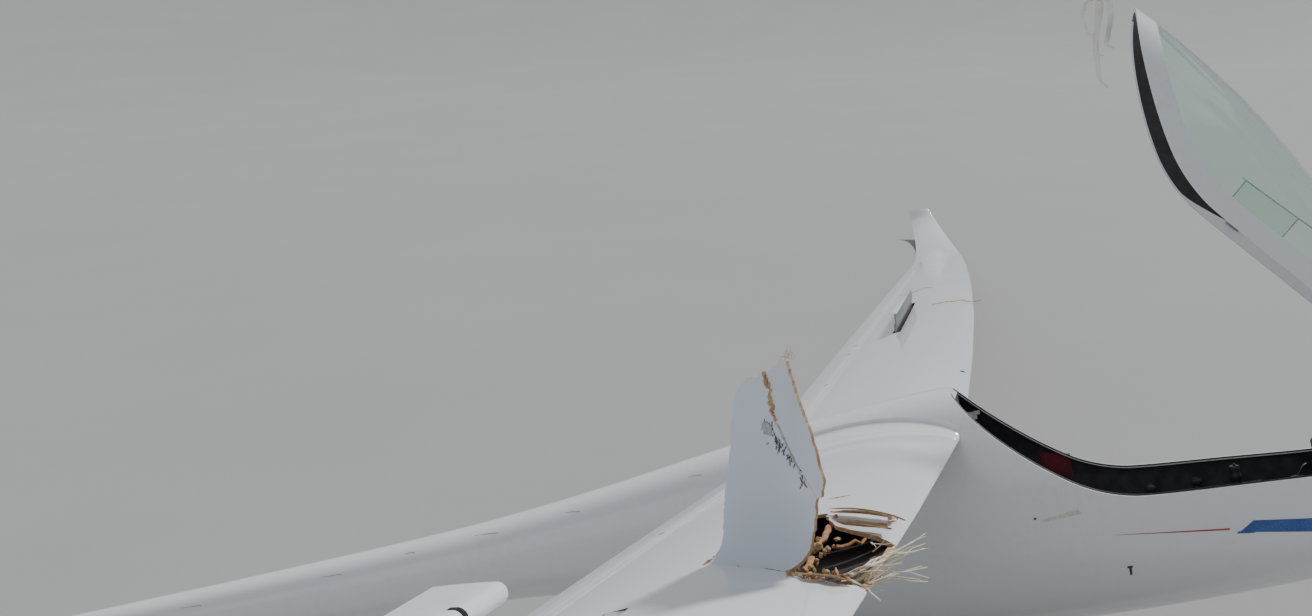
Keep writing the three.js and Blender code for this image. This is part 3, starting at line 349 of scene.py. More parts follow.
class Finish(Enum):
    """Every finish on the aircraft."""

    GELCOAT = GelCoat()
    SEAL = Plain("seal_band", (0.012, 0.013, 0.015), (0.03, 0.031, 0.033), (0.35, 0.55))
    LINER = Plain("cockpit_liner", (0.018, 0.02, 0.024), (0.045, 0.047, 0.052), (0.6, 0.85), 420.0, 0.3)
    CLOTH = Weave("seat_cloth", (0.09, 0.008, 0.014), (0.2, 0.02, 0.035), 1400.0, 0.9, 0.35)
    BELT = Weave("harness_webbing", (0.05, 0.055, 0.06), (0.12, 0.125, 0.13), 2600.0, 0.8, 0.2)
    CARBON = Weave("bare_laminate", (0.012, 0.012, 0.014), (0.05, 0.05, 0.055), 1100.0, 0.5, 0.0, 0.8)
    FOAM = Plain("core_foam", (0.44, 0.27, 0.14), (0.70, 0.50, 0.30), (0.85, 0.98), 700.0, 0.8, 0.0, 60.0)
    FIBRE = Plain("glass_fibres", (0.66, 0.58, 0.42), (0.84, 0.79, 0.66), (0.55, 0.8), 900.0, 0.5, 0.0, 90.0)
    LAMINATE = Plain("skin_inside", (0.30, 0.27, 0.22), (0.46, 0.42, 0.35), (0.5, 0.8), 300.0, 0.4, 0.0, 30.0)
    # Near-black painted shade for the inner walls of the torn wing's hollow.
    CAVITY = Plain("wing_inside", (0.016, 0.014, 0.012), (0.06, 0.05, 0.04), (0.6, 0.85), 300.0, 0.4, 0.0, 30.0)
    METAL = Plain("satin_metal", (0.42, 0.43, 0.44), (0.58, 0.59, 0.6), (0.28, 0.45), 500.0, 0.08, 1.0)
    BRIGHT = Plain("bright_metal", (0.7, 0.71, 0.72), (0.82, 0.83, 0.84), (0.12, 0.25), 500.0, 0.05, 1.0)
    RUBBER = Plain("tyre_rubber", (0.014, 0.014, 0.015), (0.05, 0.048, 0.045), (0.75, 0.92), 260.0, 0.4)
    PLEXI = Plexi()
    RED = Plain("red_paint", (0.42, 0.02, 0.03), (0.52, 0.06, 0.06), (0.2, 0.35), 200.0, 0.05)
    BLUE = Plain("blue_paint", (0.03, 0.09, 0.32), (0.06, 0.14, 0.4), (0.2, 0.35), 200.0, 0.05)
    DIAL = Plain("dial_face", (0.008, 0.008, 0.009), (0.02, 0.02, 0.022), (0.25, 0.4), 200.0, 0.05)
    MARKS = Plain("dial_marks", (0.72, 0.72, 0.7), (0.8, 0.8, 0.78), (0.5, 0.6), 200.0, 0.05)
    # Gelcoat with painted shade: the white darkened to blue-grey, as in shade under a blue sky, for the torn plate's
    # and strip's outer face.
    PANEL = GelCoat("shaded_gelcoat", (0.66, 0.71, 0.78), (0.56, 0.6, 0.66), (0.12, 0.28))
    TAPE = GelCoat("seal_tape", (0.84, 0.85, 0.86), (0.74, 0.75, 0.76), (0.18, 0.3))
    BARED = Plain("bared_laminate", (0.34, 0.35, 0.36), (0.52, 0.53, 0.54), (0.5, 0.8), 700.0, 0.6, 0.0, 160.0)
    RAIL = Plain("clear_rail", (0.55, 0.72, 0.64), (0.7, 0.84, 0.78), (0.15, 0.3), 200.0, 0.1)
    GREY = Plain("grey_metal", (0.22, 0.225, 0.235), (0.34, 0.345, 0.355), (0.35, 0.55), 400.0, 0.1, 0.7)
    TRIM = Plain("white_trim", (0.88, 0.88, 0.85), (0.80, 0.77, 0.68), (0.4, 0.6), 300.0, 0.3)
    SMEAR = Plain("dry_smear", (0.60, 0.60, 0.46), (0.74, 0.75, 0.68), (0.5, 0.8), 200.0, 0.2, 0.0, 60.0)
    WARM = Plain("warm_filler", (0.34, 0.15, 0.06), (0.55, 0.30, 0.14), (0.8, 0.95), 500.0, 0.8, 0.0, 90.0)
    SLOT = Plain("brake_well", (0.10, 0.012, 0.014), (0.2, 0.03, 0.03), (0.6, 0.8), 200.0, 0.2, 0.0, 20.0)
    GRIME = Plain("grime", (0.05, 0.045, 0.04), (0.12, 0.1, 0.085), (0.8, 0.95), 500.0, 0.5, 0.0, 120.0)


class Palette:
    """The finishes as materials, each made once."""

    def __init__(self) -> None:
        """Starts empty."""
        self.made: dict[Finish, bpy.types.Material] = {}

    def __getitem__(self, finish: Finish) -> bpy.types.Material:
        """The material of a finish."""
        if finish not in self.made:
            self.made[finish] = finish.value.make()
        return self.made[finish]


PALETTE = Palette()


# ---------------------------------------------------------------- making pieces


def outwards(bm: bmesh.types.BMesh) -> bmesh.types.BMesh:
    """Turns a closed mesh's faces outwards."""
    bmesh.ops.recalc_face_normals(bm, faces=bm.faces[:])
    if bm.calc_volume(signed=True) < 0:
        bmesh.ops.reverse_faces(bm, faces=bm.faces[:])
    return bm


def sheet_of(rows: Sequence[Sequence[Vector]], closed: bool, capped: bool = True) -> bmesh.types.BMesh:
    """A skin over rows of points, laid on a grid.

    Args:
        rows: rows of points, all of one length.
        closed: whether each row is a ring.
        capped: whether the first and last ring are closed with a face.

    Returns:
        The mesh, in the points' own units, with its faces outwards where it is a closed form.
    """
    bm = bmesh.new()
    across, down = len(rows[0]) + (1 if closed else 0), len(rows)
    grid = bmesh.ops.create_grid(bm, x_segments=across - 1, y_segments=down - 1, size=1.0)["verts"]
    for vert in grid:
        i = round((vert.co.x + 1) / 2 * (across - 1))
        j = round((vert.co.y + 1) / 2 * (down - 1))
        vert.co = rows[j][i % len(rows[0])]
    if closed:
        bmesh.ops.remove_doubles(bm, verts=bm.verts[:], dist=0.01)
        if capped:
            rims = [edge for edge in bm.edges if edge.is_boundary]
            bmesh.ops.holes_fill(bm, edges=rims, sides=0)
        outwards(bm)
    return bm


def film(rows: Sequence[Sequence[Vector]], thickness: float, out: Optional[Vector] = None) -> bmesh.types.BMesh:
    """An open sheet over rows of points with a thickness.

    Args:
        rows: rows of points, all of one length.
        thickness: how thick it is.
        out: the direction that its outer side faces, where that matters.

    Returns:
        The closed film.
    """
    bm = sheet_of(rows, False)
    bmesh.ops.recalc_face_normals(bm, faces=bm.faces[:])
    if out is not None and sum(face.normal.dot(out) for face in bm.faces) < 0:
        bmesh.ops.reverse_faces(bm, faces=bm.faces[:])
    bmesh.ops.solidify(bm, geom=bm.faces[:], thickness=thickness)
    return bm


def curved(points: Sequence[Vector], fine: int) -> list[Vector]:
    """A smooth curve through points, each stretch in that many steps."""
    smooth = []
    for i in range(len(points) - 1):
        p, a, b, q = points[max(0, i - 1)], points[i], points[i + 1], points[min(len(points) - 1, i + 2)]
        for k in range(fine):
            u = k / fine
            smooth.append(0.5 * (2 * a + (b - p) * u + (2 * p - 5 * a + 4 * b - q) * u * u
                                 + (3 * a - p - 3 * b + q) * u**3))
    return [*smooth, points[-1]]


def between(rows: Sequence[tuple], i: int, u: float) -> list[float]:
    """The numbers between two rows of a table, by their neighbours' slopes over the first column.

    Args:
        rows: the table, with rising first numbers.
        i: the later of the two rows.
        u: the share of the way to it.

    Returns:
        The numbers of all columns but the first.
    """
    a, b = rows[i - 1], rows[i]
    p, q = rows[i - 2] if i > 1 else None, rows[i + 1] if i + 1 < len(rows) else None
    span = b[0] - a[0]
    numbers = []
    for k in range(1, len(a)):
        slope_a = (b[k] - a[k]) / span if p is None else (b[k] - p[k]) / (b[0] - p[0])
        slope_b = (b[k] - a[k]) / span if q is None else (q[k] - a[k]) / (q[0] - a[0])
        numbers.append((2 * u**3 - 3 * u**2 + 1) * a[k] + (u**3 - 2 * u**2 + u) * span * slope_a
                       + (3 * u**2 - 2 * u**3) * b[k] + (u**3 - u**2) * span * slope_b)
    return numbers


def linked(name: str, data: bpy.types.ID) -> bpy.types.Object:
    """A new object in the scene."""
    thing = bpy.data.objects.new(name, data)
    bpy.context.scene.collection.objects.link(thing)
    return thing


def stray(dice: random.Random, reach: float) -> Vector:
    """A random step, up to the reach along each axis."""
    return Vector([dice.uniform(-reach, reach) for _ in range(3)])


def slab(outline: Sequence[Vector], depth: Vector) -> bmesh.types.BMesh:
    """A flat outline pushed along a vector.

    Args:
        outline: its corners in order.
        depth: how far it goes.

    Returns:
        The closed mesh.
    """
    bm = bmesh.new()
    face = bm.faces.new([bm.verts.new(point) for point in outline])
    made = bmesh.ops.extrude_face_region(bm, geom=[face])["geom"]
    bmesh.ops.translate(bm, verts=[v for v in made if isinstance(v, bmesh.types.BMVert)], vec=depth)
    return outwards(bm)


def rod(start: Vector, end: Vector, radius: float, end_radius: Optional[float] = None,
        sides: int = 16) -> bmesh.types.BMesh:
    """A round bar or cone between two points."""
    bm = bmesh.new()
    axis = end - start
    bmesh.ops.create_cone(bm, cap_ends=True, segments=sides, radius1=radius,
                          radius2=radius if end_radius is None else end_radius, depth=axis.length)
    turn = Vector((0, 0, 1)).rotation_difference(axis.normalized()).to_matrix().to_4x4()
    bmesh.ops.transform(bm, matrix=Matrix.Translation((start + end) / 2) @ turn, verts=bm.verts[:])
    return bm


def merged(parts: Sequence[bmesh.types.BMesh]) -> bmesh.types.BMesh:
    """Several meshes in one."""
    whole = bmesh.new()
    for part in parts:
        scratch = bpy.data.meshes.new("scratch")
        part.to_mesh(scratch)
        part.free()
        whole.from_mesh(scratch)
        bpy.data.meshes.remove(scratch)
    return whole


def box(centre: Vector, size: tuple, turn: Optional[Matrix] = None) -> bmesh.types.BMesh:
    """A block about a point, with an optional turn."""
    bm = bmesh.new()
    place = Matrix.Translation(centre) @ (turn or Matrix.Identity(4)) @ Matrix.Diagonal((*size, 1.0))
    bmesh.ops.create_cube(bm, size=1.0, matrix=place)
    return bm


def side_plate(outline: Sequence[tuple], start: float, end: float) -> bmesh.types.BMesh:
    """An outline of stations and heights, from one distance out to another."""
    return slab([at(st, start, z) for st, z in outline], Vector((0, end - start, 0)))


def ragged(outline: Sequence[tuple], step: float, jitter: float, dice: random.Random) -> list[tuple]:
    """An outline with each side broken into short uneven steps.

    Args:
        outline: its corners.
        step: the steps' length.
        jitter: how far they stray.
        dice: the random numbers.

    Returns:
        The broken outline.
    """
    broken = []
    for (x0, y0), (x1, y1) in zip(outline, [*outline[1:], outline[0]]):
        length = math.hypot(x1 - x0, y1 - y0)
        count = max(1, round(length / step))
        for i in range(count):
            u = i / count
            off = 0.0 if i == 0 else dice.uniform(-jitter, jitter)
            broken.append((x0 + (x1 - x0) * u - (y1 - y0) / length * off,
                           y0 + (y1 - y0) * u + (x1 - x0) / length * off))
    return broken


def strand(path: Sequence[Vector], start: float, end: float, sides: int = 6, flat: float = 1.0) -> bmesh.types.BMesh:
    """A tapering strand along a path.

    Args:
        path: its middle line.
        start: radius at the first point.
        end: radius at the last.
        sides: corners of its section.
        flat: the section's thickness as a share of its width.

    Returns:
        The closed strand.
    """
    rings = []
    for i, point in enumerate(path):
        ahead = (path[min(i + 1, len(path) - 1)] - path[max(i - 1, 0)]).normalized()
        side = ahead.cross(Vector((0.13, 0.27, 0.95))).normalized()
        other = ahead.cross(side)
        radius = start + (end - start) * i / (len(path) - 1)
        rings.append([point + side * radius * math.cos(k / sides * math.tau)
                      + other * radius * flat * math.sin(k / sides * math.tau) for k in range(sides)])
    return sheet_of(rings, True)


def turned(profile: Sequence[tuple], station: float, z: float, y: float = 0.0, steps: int = 72) -> bmesh.types.BMesh:
    """A closed profile of radius and distance out, spun about an axle across the airframe."""
    bm = bmesh.new()
    centre = at(station, y, z)
    verts = [bm.verts.new(centre + Vector((0, out, radius))) for radius, out in profile]
    edges = [bm.edges.new((a, b)) for a, b in zip(verts, verts[1:] + verts[:1])]
    bmesh.ops.spin(bm, geom=verts + edges, cent=centre, axis=(0, 1, 0), angle=math.tau, steps=steps)
    bmesh.ops.remove_doubles(bm, verts=bm.verts[:], dist=0.01)
    return outwards(bm)


class Workshop:
    """Turns meshes drawn on the level airframe into finished pieces."""

    def __init__(self) -> None:
        """Starts with nothing made."""
        self.count = 0

    def loose(self, bm: bmesh.types.BMesh, name: str, *finishes: Finish) -> bpy.types.Object:
        """An object in airframe millimetres that is not a piece yet."""
        mesh = bpy.data.meshes.new(name)
        bm.to_mesh(mesh)
        bm.free()
        for finish in finishes:
            mesh.materials.append(PALETTE[finish])
        return linked(name, mesh)

    def cut(self, thing: bpy.types.Object, cutter: bpy.types.Object,
            operation: str = "DIFFERENCE") -> bpy.types.Object:
        """Cuts, joins or trims an object by another and applies the result.

        Args:
            thing: the object that stays.
            cutter: the other one, which is used up.
            operation: DIFFERENCE, UNION or INTERSECT.

        Returns:
            The object that stays.
        """
        modifier = thing.modifiers.new("cut", "BOOLEAN")
        modifier.operation = operation
        modifier.object = cutter
        modifier.solver = "EXACT"
        modifier.material_mode = "TRANSFER"
        self.settle(thing)
        if not thing.data.polygons:
            raise RuntimeError(f"{thing.name}: {operation} with {cutter.name} leaves nothing")
        mesh = cutter.data
        bpy.data.objects.remove(cutter)
        bpy.data.meshes.remove(mesh)
        return thing

    @staticmethod
    def settle(thing: bpy.types.Object) -> None:
        """Applies an object's modifiers."""
        graph = bpy.context.evaluated_depsgraph_get()
        result = bpy.data.meshes.new_from_object(thing.evaluated_get(graph), depsgraph=graph)
        thing.modifiers.clear()
        old, thing.data = thing.data, result
        bpy.data.meshes.remove(old)

    def finish(self, thing: bpy.types.Object, body: Body | str, angle: float = 32.0, stands_for: Sequence[str] = (),
               slot: Optional[str] = None, bevel: float = 0.0, placed: bool = False) -> bpy.types.Object:
        """Moves an object into the row's frame and makes it a piece.

        Args:
            thing: the object, in airframe millimetres.
            body: the body that it rides on.
            angle: edges sharper than this many degrees stay crisp.
            stands_for: the CAD nodes that it replaces.
            slot: not used.
            bevel: width of a bevel on crisp edges, in millimetres.
            placed: whether it is in the row's frame already.

        Returns:
            The piece.
        """
        mesh = thing.data
        if not placed:
            mesh.transform(ATTITUDE.matrix)
        bm = bmesh.new()
        bm.from_mesh(mesh)
        bmesh.ops.remove_doubles(bm, verts=bm.verts[:], dist=2e-6)
        bmesh.ops.dissolve_degenerate(bm, edges=bm.edges[:], dist=1e-6)
        if bevel:
            sharp = [e for e in bm.edges if len(e.link_faces) == 2 and e.calc_face_angle(0) > math.radians(angle)]
            bmesh.ops.bevel(bm, geom=sharp, offset=bevel * MM, segments=2, profile=0.5, affect="EDGES", material=-1)
        for face in bm.faces:
            face.smooth = True
        for edge in bm.edges:
            edge.smooth = len(edge.link_faces) == 2 and edge.calc_face_angle(0) < math.radians(angle)
        bm.to_mesh(mesh)
        bm.free()
        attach(thing, body if isinstance(body, str) and not isinstance(body, Body) else body.value)
        if stands_for:
            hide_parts(*stands_for)
        self.count += 1
        log.info("%s: %d faces on %s", thing.name, len(mesh.polygons), thing["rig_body"])
        return thing

    def piece(self, bm: bmesh.types.BMesh, name: str, finishes: Finish | Sequence[Finish],
              body: Body | str = Body.AIRFRAME, **more: object) -> bpy.types.Object:
        """A finished piece from a mesh in airframe millimetres; see finish for the rest."""
        several = [finishes] if isinstance(finishes, Finish) else finishes
        return self.finish(self.loose(bm, name, *several), body, **more)

    def smooth_copy(self, node: str, finish: Finish, name: Optional[str] = None, angle: float = 32.0,
                    bevel: float = 0.0) -> bpy.types.Object:
        """A merged and smoothly shaded copy of a CAD node that stands for it.

        Args:
            node: the node's name.
            finish: what it is made of.
            name: the piece's name, or the node's with _skin.
            angle: edges sharper than this many degrees stay crisp.
            bevel: width of a bevel on crisp edges, in millimetres.

        Returns:
            The piece.
        """
        source = frame["nodes"][node]
        mesh = source.data.copy()
        mesh.materials.clear()
        mesh.materials.append(PALETTE[finish])
        thing = linked(name or f"{node}_skin", mesh)
        return self.finish(thing, source["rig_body"], angle, (node,), bevel=bevel, placed=True)


SHOP = Workshop()


# ---------------------------------------------------------------- fuselage


@dataclass(frozen=True)
class HullSection:
    """A section of the fuselage: station, half width, top, widest height and bottom."""

    st: float
    half: float
    top: float
    mid: float
    bottom: float


@dataclass
class Hull:
    """The fuselage's outer surface from its sections, rows of a HullSection's numbers."""

    square: float = 2.15
    crowded: float = 12.0
    sections: tuple = (
        (-240, 4, -91, -95, -99), (-214, 40, -52, -95, -136), (-130, 84, 2, -86, -182), (4, 130, 60, -72, -232),
        (186, 174, 127, -54, -278), (430, 214, 208, -36, -318), (735, 246, 300, -18, -350), (1100, 268, 392, 0, -370),
        (1400, 278, 458, 16, -378), (1700, 280, 491, 36, -376), (1950, 275, 494, 64, -364),
        (2200, 257, 474, 96, -338), (2500, 228, 436, 128, -278), (2800, 194, 388, 146, -190),
        (3100, 168, 334, 146, -96), (3400, 149, 285, 128, -44), (3750, 134, 240, 103, -34),
        (4400, 115, 184, 68, -46), (5200, 98, 126, 33, -60), (5900, 84, 81, 6, -70), (6300, 70, 55, -12, -78),
        (6490, 50, 38, -24, -76))
    rim: tuple = ((1992, 570), (1936, 474), (1860, 383), (1760, 290), (1640, 197), (1520, 124), (1400, 83),
                  (1280, 69), (1000, 59), (700, 49), (420, 50), (300, 62), (240, 84), (208, 112), (190, 158))

    def section(self, station: float) -> HullSection:
        """The section at a station, smoothly between the table's rows."""
        rows = self.sections
        i = max(1, next((k for k, row in enumerate(rows) if row[0] >= station), len(rows) - 1))
        u = (station - rows[i - 1][0]) / (rows[i][0] - rows[i - 1][0])
        return HullSection(station, *between(rows, i, u))

    def ring(self, station: float, inset: float, count: int = 72) -> list[Vector]:
        """Points round a section, set in from the surface."""
        s = self.section(station)
        points = []
        for i in range(count):
            angle = (i + 0.5) / count * math.tau + math.pi / 2
            c, k = math.cos(angle), math.sin(angle)
            reach = s.top - inset - s.mid if k > 0 else s.mid - s.bottom - inset
            bent = lambda v: math.copysign(abs(v) ** (2 / self.square), v)
            points.append(at(station, (s.half - inset) * bent(c), s.mid + reach * bent(k)))
        return points

    def skin(self, start: float, end: float, inset: float, step: float = 45.0) -> bmesh.types.BMesh:
        """The hull's surface between two stations, closed at both ends."""
        count = max(2, round((end - start) / step))
        stations = [start + (end - start) * i / count for i in range(count + 1)]
        if start <= -239:
            stations[1:1] = [start + 1.5, start + 5, start + 11, start + 19, start + 30]
        return sheet_of([self.ring(st, inset) for st in stations], True)

    def half_at(self, station: float, z: float) -> float:
        """Half the hull's width at a height."""
        s = self.section(station)
        reach = s.top - s.mid if z > s.mid else s.mid - s.bottom
        share = min(1.0, abs(z - s.mid) / reach)
        return s.half * (1 - share**self.square) ** (1 / self.square)

    def rim_line(self, distance: float = 0.0, fine: int = 8) -> list[tuple[float, float]]:
        """The cockpit rim seen from the side, smoothed and moved outwards, from its rear end forwards."""
        rim = [Vector(p) for p in self.rim]
        points = []
        for i, point in enumerate(rim):
            d = (rim[min(len(rim) - 1, i + 1)] - rim[max(0, i - 1)]).normalized()
            place = point + Vector((d.y, -d.x)) * distance
            if points and (place - points[-1]).length < self.crowded:
                if i < len(rim) - 1:
                    continue
                points.pop()
            points.append(place)
        return [(point.x, point.y) for point in curved(points, fine)]

    def over_rim(self, distance: float) -> bmesh.types.BMesh:
        """A block over everything above the rim."""
        line = self.rim_line(distance)
        outline = [*line, (line[-1][0], 720.0), (line[0][0], 720.0)]
        return slab([at(st, -520, z) for st, z in outline], Vector((0, 1040, 0)))


HULL = Hull()


@dataclass
class Fuselage:
    """The fuselage with its fin, tub and wheel bays."""

    shell: float = 12.0
    bulkhead: tuple = ((150, 700), (1925, 700), (1925, 330), (1390, -372), (1390, -500), (150, -500))
    bay: tuple = (1800.0, 2290.0, 104.0, -205.0)
    tail_bay: tuple = (6176.0, 6364.0, 30.0, 33.0)

    def build(self) -> None:
        """Builds every piece of the fuselage."""
        self.shell_piece()
        self.fin()
        self.lugs()
        self.markings()
        self.scratches()

    def shell_piece(self) -> None:
        """The hull with its cockpit and wheel bays."""
        hull = SHOP.loose(HULL.skin(-240, 6490, 0), "fuselage_skin", Finish.GELCOAT)
        SHOP.cut(hull, SHOP.loose(HULL.over_rim(0), "rim_block", Finish.GELCOAT))
        tub = SHOP.loose(HULL.skin(186, 2070, self.shell), "tub_block", Finish.LINER)
        ahead = slab([at(st, -520, z) for st, z in self.bulkhead], Vector((0, 1040, 0)))
        SHOP.cut(tub, SHOP.loose(ahead, "ahead_block", Finish.LINER), "INTERSECT")
        SHOP.cut(hull, tub)
        for start, end, half, roof in (self.bay, self.tail_bay):
            outline = [at(start, -half, roof), at(end, -half, roof), at(end, half, roof), at(start, half, roof)]
            SHOP.cut(hull, SHOP.loose(slab(outline, Vector((0, 0, -400))), "bay_block", Finish.LINER))
        SHOP.finish(hull, Body.AIRFRAME, 38.0, ("fuselage",))

    def fin(self) -> None:
        """The fin with the rudder's hinges, and the fairings at both wing roots."""
        foot, head = TAIL.fin_foot, TAIL.fin_head
        rings = []
        for i in range(25):
            z = foot[0] + (head[0] - foot[0]) * i / 24
            lead = foot[1] + (head[1] - foot[1]) * i / 24
            hinge = TAIL.fin_hinge(z)
            reach = hinge - lead - TAIL.rudder_radius(z) - 6
            xs = [(1 - k / 23) ** 1.6 for k in range(24)]
            half = [0.5 * 0.15 * (hinge - lead) * math.sin(math.pi * (0.72 * x) ** 0.7) ** 0.85 for x in xs]
            half[-1] = 0.6
            rings.append([at(lead + x * reach, h, z) for x, h in zip(xs, half)]
                         + [at(lead + x * reach, -h, z) for x, h in reversed(list(zip(xs, half)))])
        fin = SHOP.loose(sheet_of(rings, True), "fin_skin", Finish.GELCOAT)
        SHOP.cut(fin, SHOP.loose(box(at(6700, 0, 1150), (330, 200, 176)), "notch", Finish.GELCOAT))
        SHOP.finish(fin, Body.AIRFRAME, 40.0)
        arms = [arm for z in TAIL.rudder_hinges
                for arm in hinge_arm(TAIL.rudder_radius(z) + 30, at(TAIL.fin_hinge(z), 0, z), TAIL.rudder_axis())]
        SHOP.piece(merged(arms), "rudder_hinges", Finish.METAL, angle=40)
        for side in Side:
            rings = [[WING.point(side, y, 808, x, h) for x, h in WING.profile(1.0, 0.14, 44, 0.003)]
                     for y in (150, 190, 230, 261.7)]
            SHOP.piece(sheet_of(rings, True), f"{side.word}_root_fairing", Finish.GELCOAT)
            self.fillet(side)

    @staticmethod
    def fillet(side: Side) -> None:
        """A concave fairing between the hull and the wing's root, above and below."""
        rows = []
        outline = WING.profile(0.985, 0.14, 30, 0.003)
        for x, h in outline:
            foot = WING.point(side, 261.5, 808, x, h)
            level = HULL.half_at(-foot.x, foot.z)
            if level > 255:
                level = 255
            middle = WING.camber(x)
            out = 1.0 if h > middle else -1.0
            row = []
            for k in range(9):
                a = k / 8 * math.pi / 2
                y = 261.0 - (261.0 - level + 4) * math.sin(a)
                rise = 34.0 * (1 - math.cos(a)) * min(1.0, (255 - level + 30) / 60)
                row.append(at(-foot.x, side.value * y, foot.z + out * (rise + 0.15)))
            rows.append([*row, *[point - Vector((0, 0, 4 * out)) for point in reversed(row)]])
        bm = sheet_of(rows, True)
        SHOP.piece(bm, f"{side.word}_root_fillet", Finish.GELCOAT, angle=50)

    @staticmethod
    def lugs() -> None:
        """The two lugs that carry the canopy's pin."""
        st, z = 60, 100
        outline = [(st - 12, z - 40), (st - 9, z + 4), (st - 4, z + 9), (st + 4, z + 9), (st + 9, z + 4),
                   (st + 12, z - 40)]
        parts = [side_plate(outline, 12.3, 20), side_plate(outline, -20, -12.3)]
        lugs = SHOP.loose(merged(parts), "canopy_lugs", Finish.METAL)
        SHOP.cut(lugs, SHOP.loose(rod(at(st, -40, z), at(st, 40, z), 4.3), "bore", Finish.METAL))
        SHOP.finish(lugs, Body.AIRFRAME, 40.0)

    def decal(self, outline: Sequence[tuple], name: str, finish: Finish, side: Side = Side.RIGHT,
              proud: float = 0.35, step: float = 30.0) -> None:
        """A thin film on the hull's side.

        Args:
            outline: four corners as stations and heights, upper rear, upper front, lower front, lower rear.
            name: the piece's name.
            finish: its paint.
            side: the side it is on.
            proud: its thickness.
            step: how finely it follows the hull.
        """
        (s0, z0), (s1, z1), (s2, z2), (s3, z3) = outline
        count = max(2, round(max(abs(s1 - s0), abs(s2 - s3)) / step))
        rows = []
        for i in range(count + 1):
            u = i / count
            row = []
            for k in range(5):
                v = k / 4
                st = (s0 + (s1 - s0) * u) * (1 - v) + (s3 + (s2 - s3) * u) * v
                z = (z0 + (z1 - z0) * u) * (1 - v) + (z3 + (z2 - z3) * u) * v
                row.append(at(st, side.value * (HULL.half_at(st, z) + proud), z))
            rows.append(row)
        bm = film(rows, proud * 0.8, Vector((0, side.value, 0)))
        SHOP.piece(bm, name, finish, angle=60)

    def markings(self) -> None:
        """Painted lines and small marks on the right side, and the plain ones on the left."""
        for side in Side:
            word = side.word
            self.decal(((1449, -41.5), (1067, -76.5), (1067, -83.0), (1449, -42.5)), f"{word}_pinstripe",
                       Finish.RED, side)
            self.decal(((985, -62), (640, -104), (640, -157), (1035, -95)), f"{word}_name_bar", Finish.BLUE, side)
            self.decal(((1040, -92), (985, -97), (985, -106), (1046, -99)), f"{word}_bar_foot", Finish.BLUE, side)
        self.decal(((1418, -160), (1409, -160), (1409, -192), (1417, -192)), "static_slot", Finish.GRIME,
                   proud=0.6, step=4)
        self.decal(((1423, -158), (1405, -158), (1405, -166), (1423, -166)), "static_slot_head", Finish.GRIME,
                   proud=0.5, step=4)
        self.decal(((1709, 54), (1701, 54), (1701, 47), (1709, 47)), "side_stud", Finish.GRIME, proud=1.0, step=4)
        self.decal(((1690, 42), (1560, 62), (1548, 46), (1680, 34)), "dust_smear", Finish.SMEAR, proud=0.25)

    def scratches(self) -> None:
        """Thin scuffs along the boom's upper right side."""
        dice = random.Random(11)
        parts = []
        for st, z, length in ((3620, 225, 90), (4180, 158, 70), (3300, 262, 60), (4700, 118, 80), (2850, 330, 50),
                              (3900, 196, 40), (5200, 90, 60), (2500, 380, 45)):
            path = []
            for i in range(7):
                s = st + length * (i / 6 - 0.5)
                section = HULL.section(s)
                share = min(0.98, (z - section.mid) / (section.top - section.mid))
                zz = section.mid + share * (section.top - section.mid) + dice.uniform(-1.2, 1.2)
                path.append(at(s, -HULL.half_at(s, zz) - 0.1, zz))
            parts.append(strand(path, 0.9, 0.3, 5))
        SHOP.piece(merged(parts), "boom_scuffs", Finish.GRIME)


# ---------------------------------------------------------------- wings


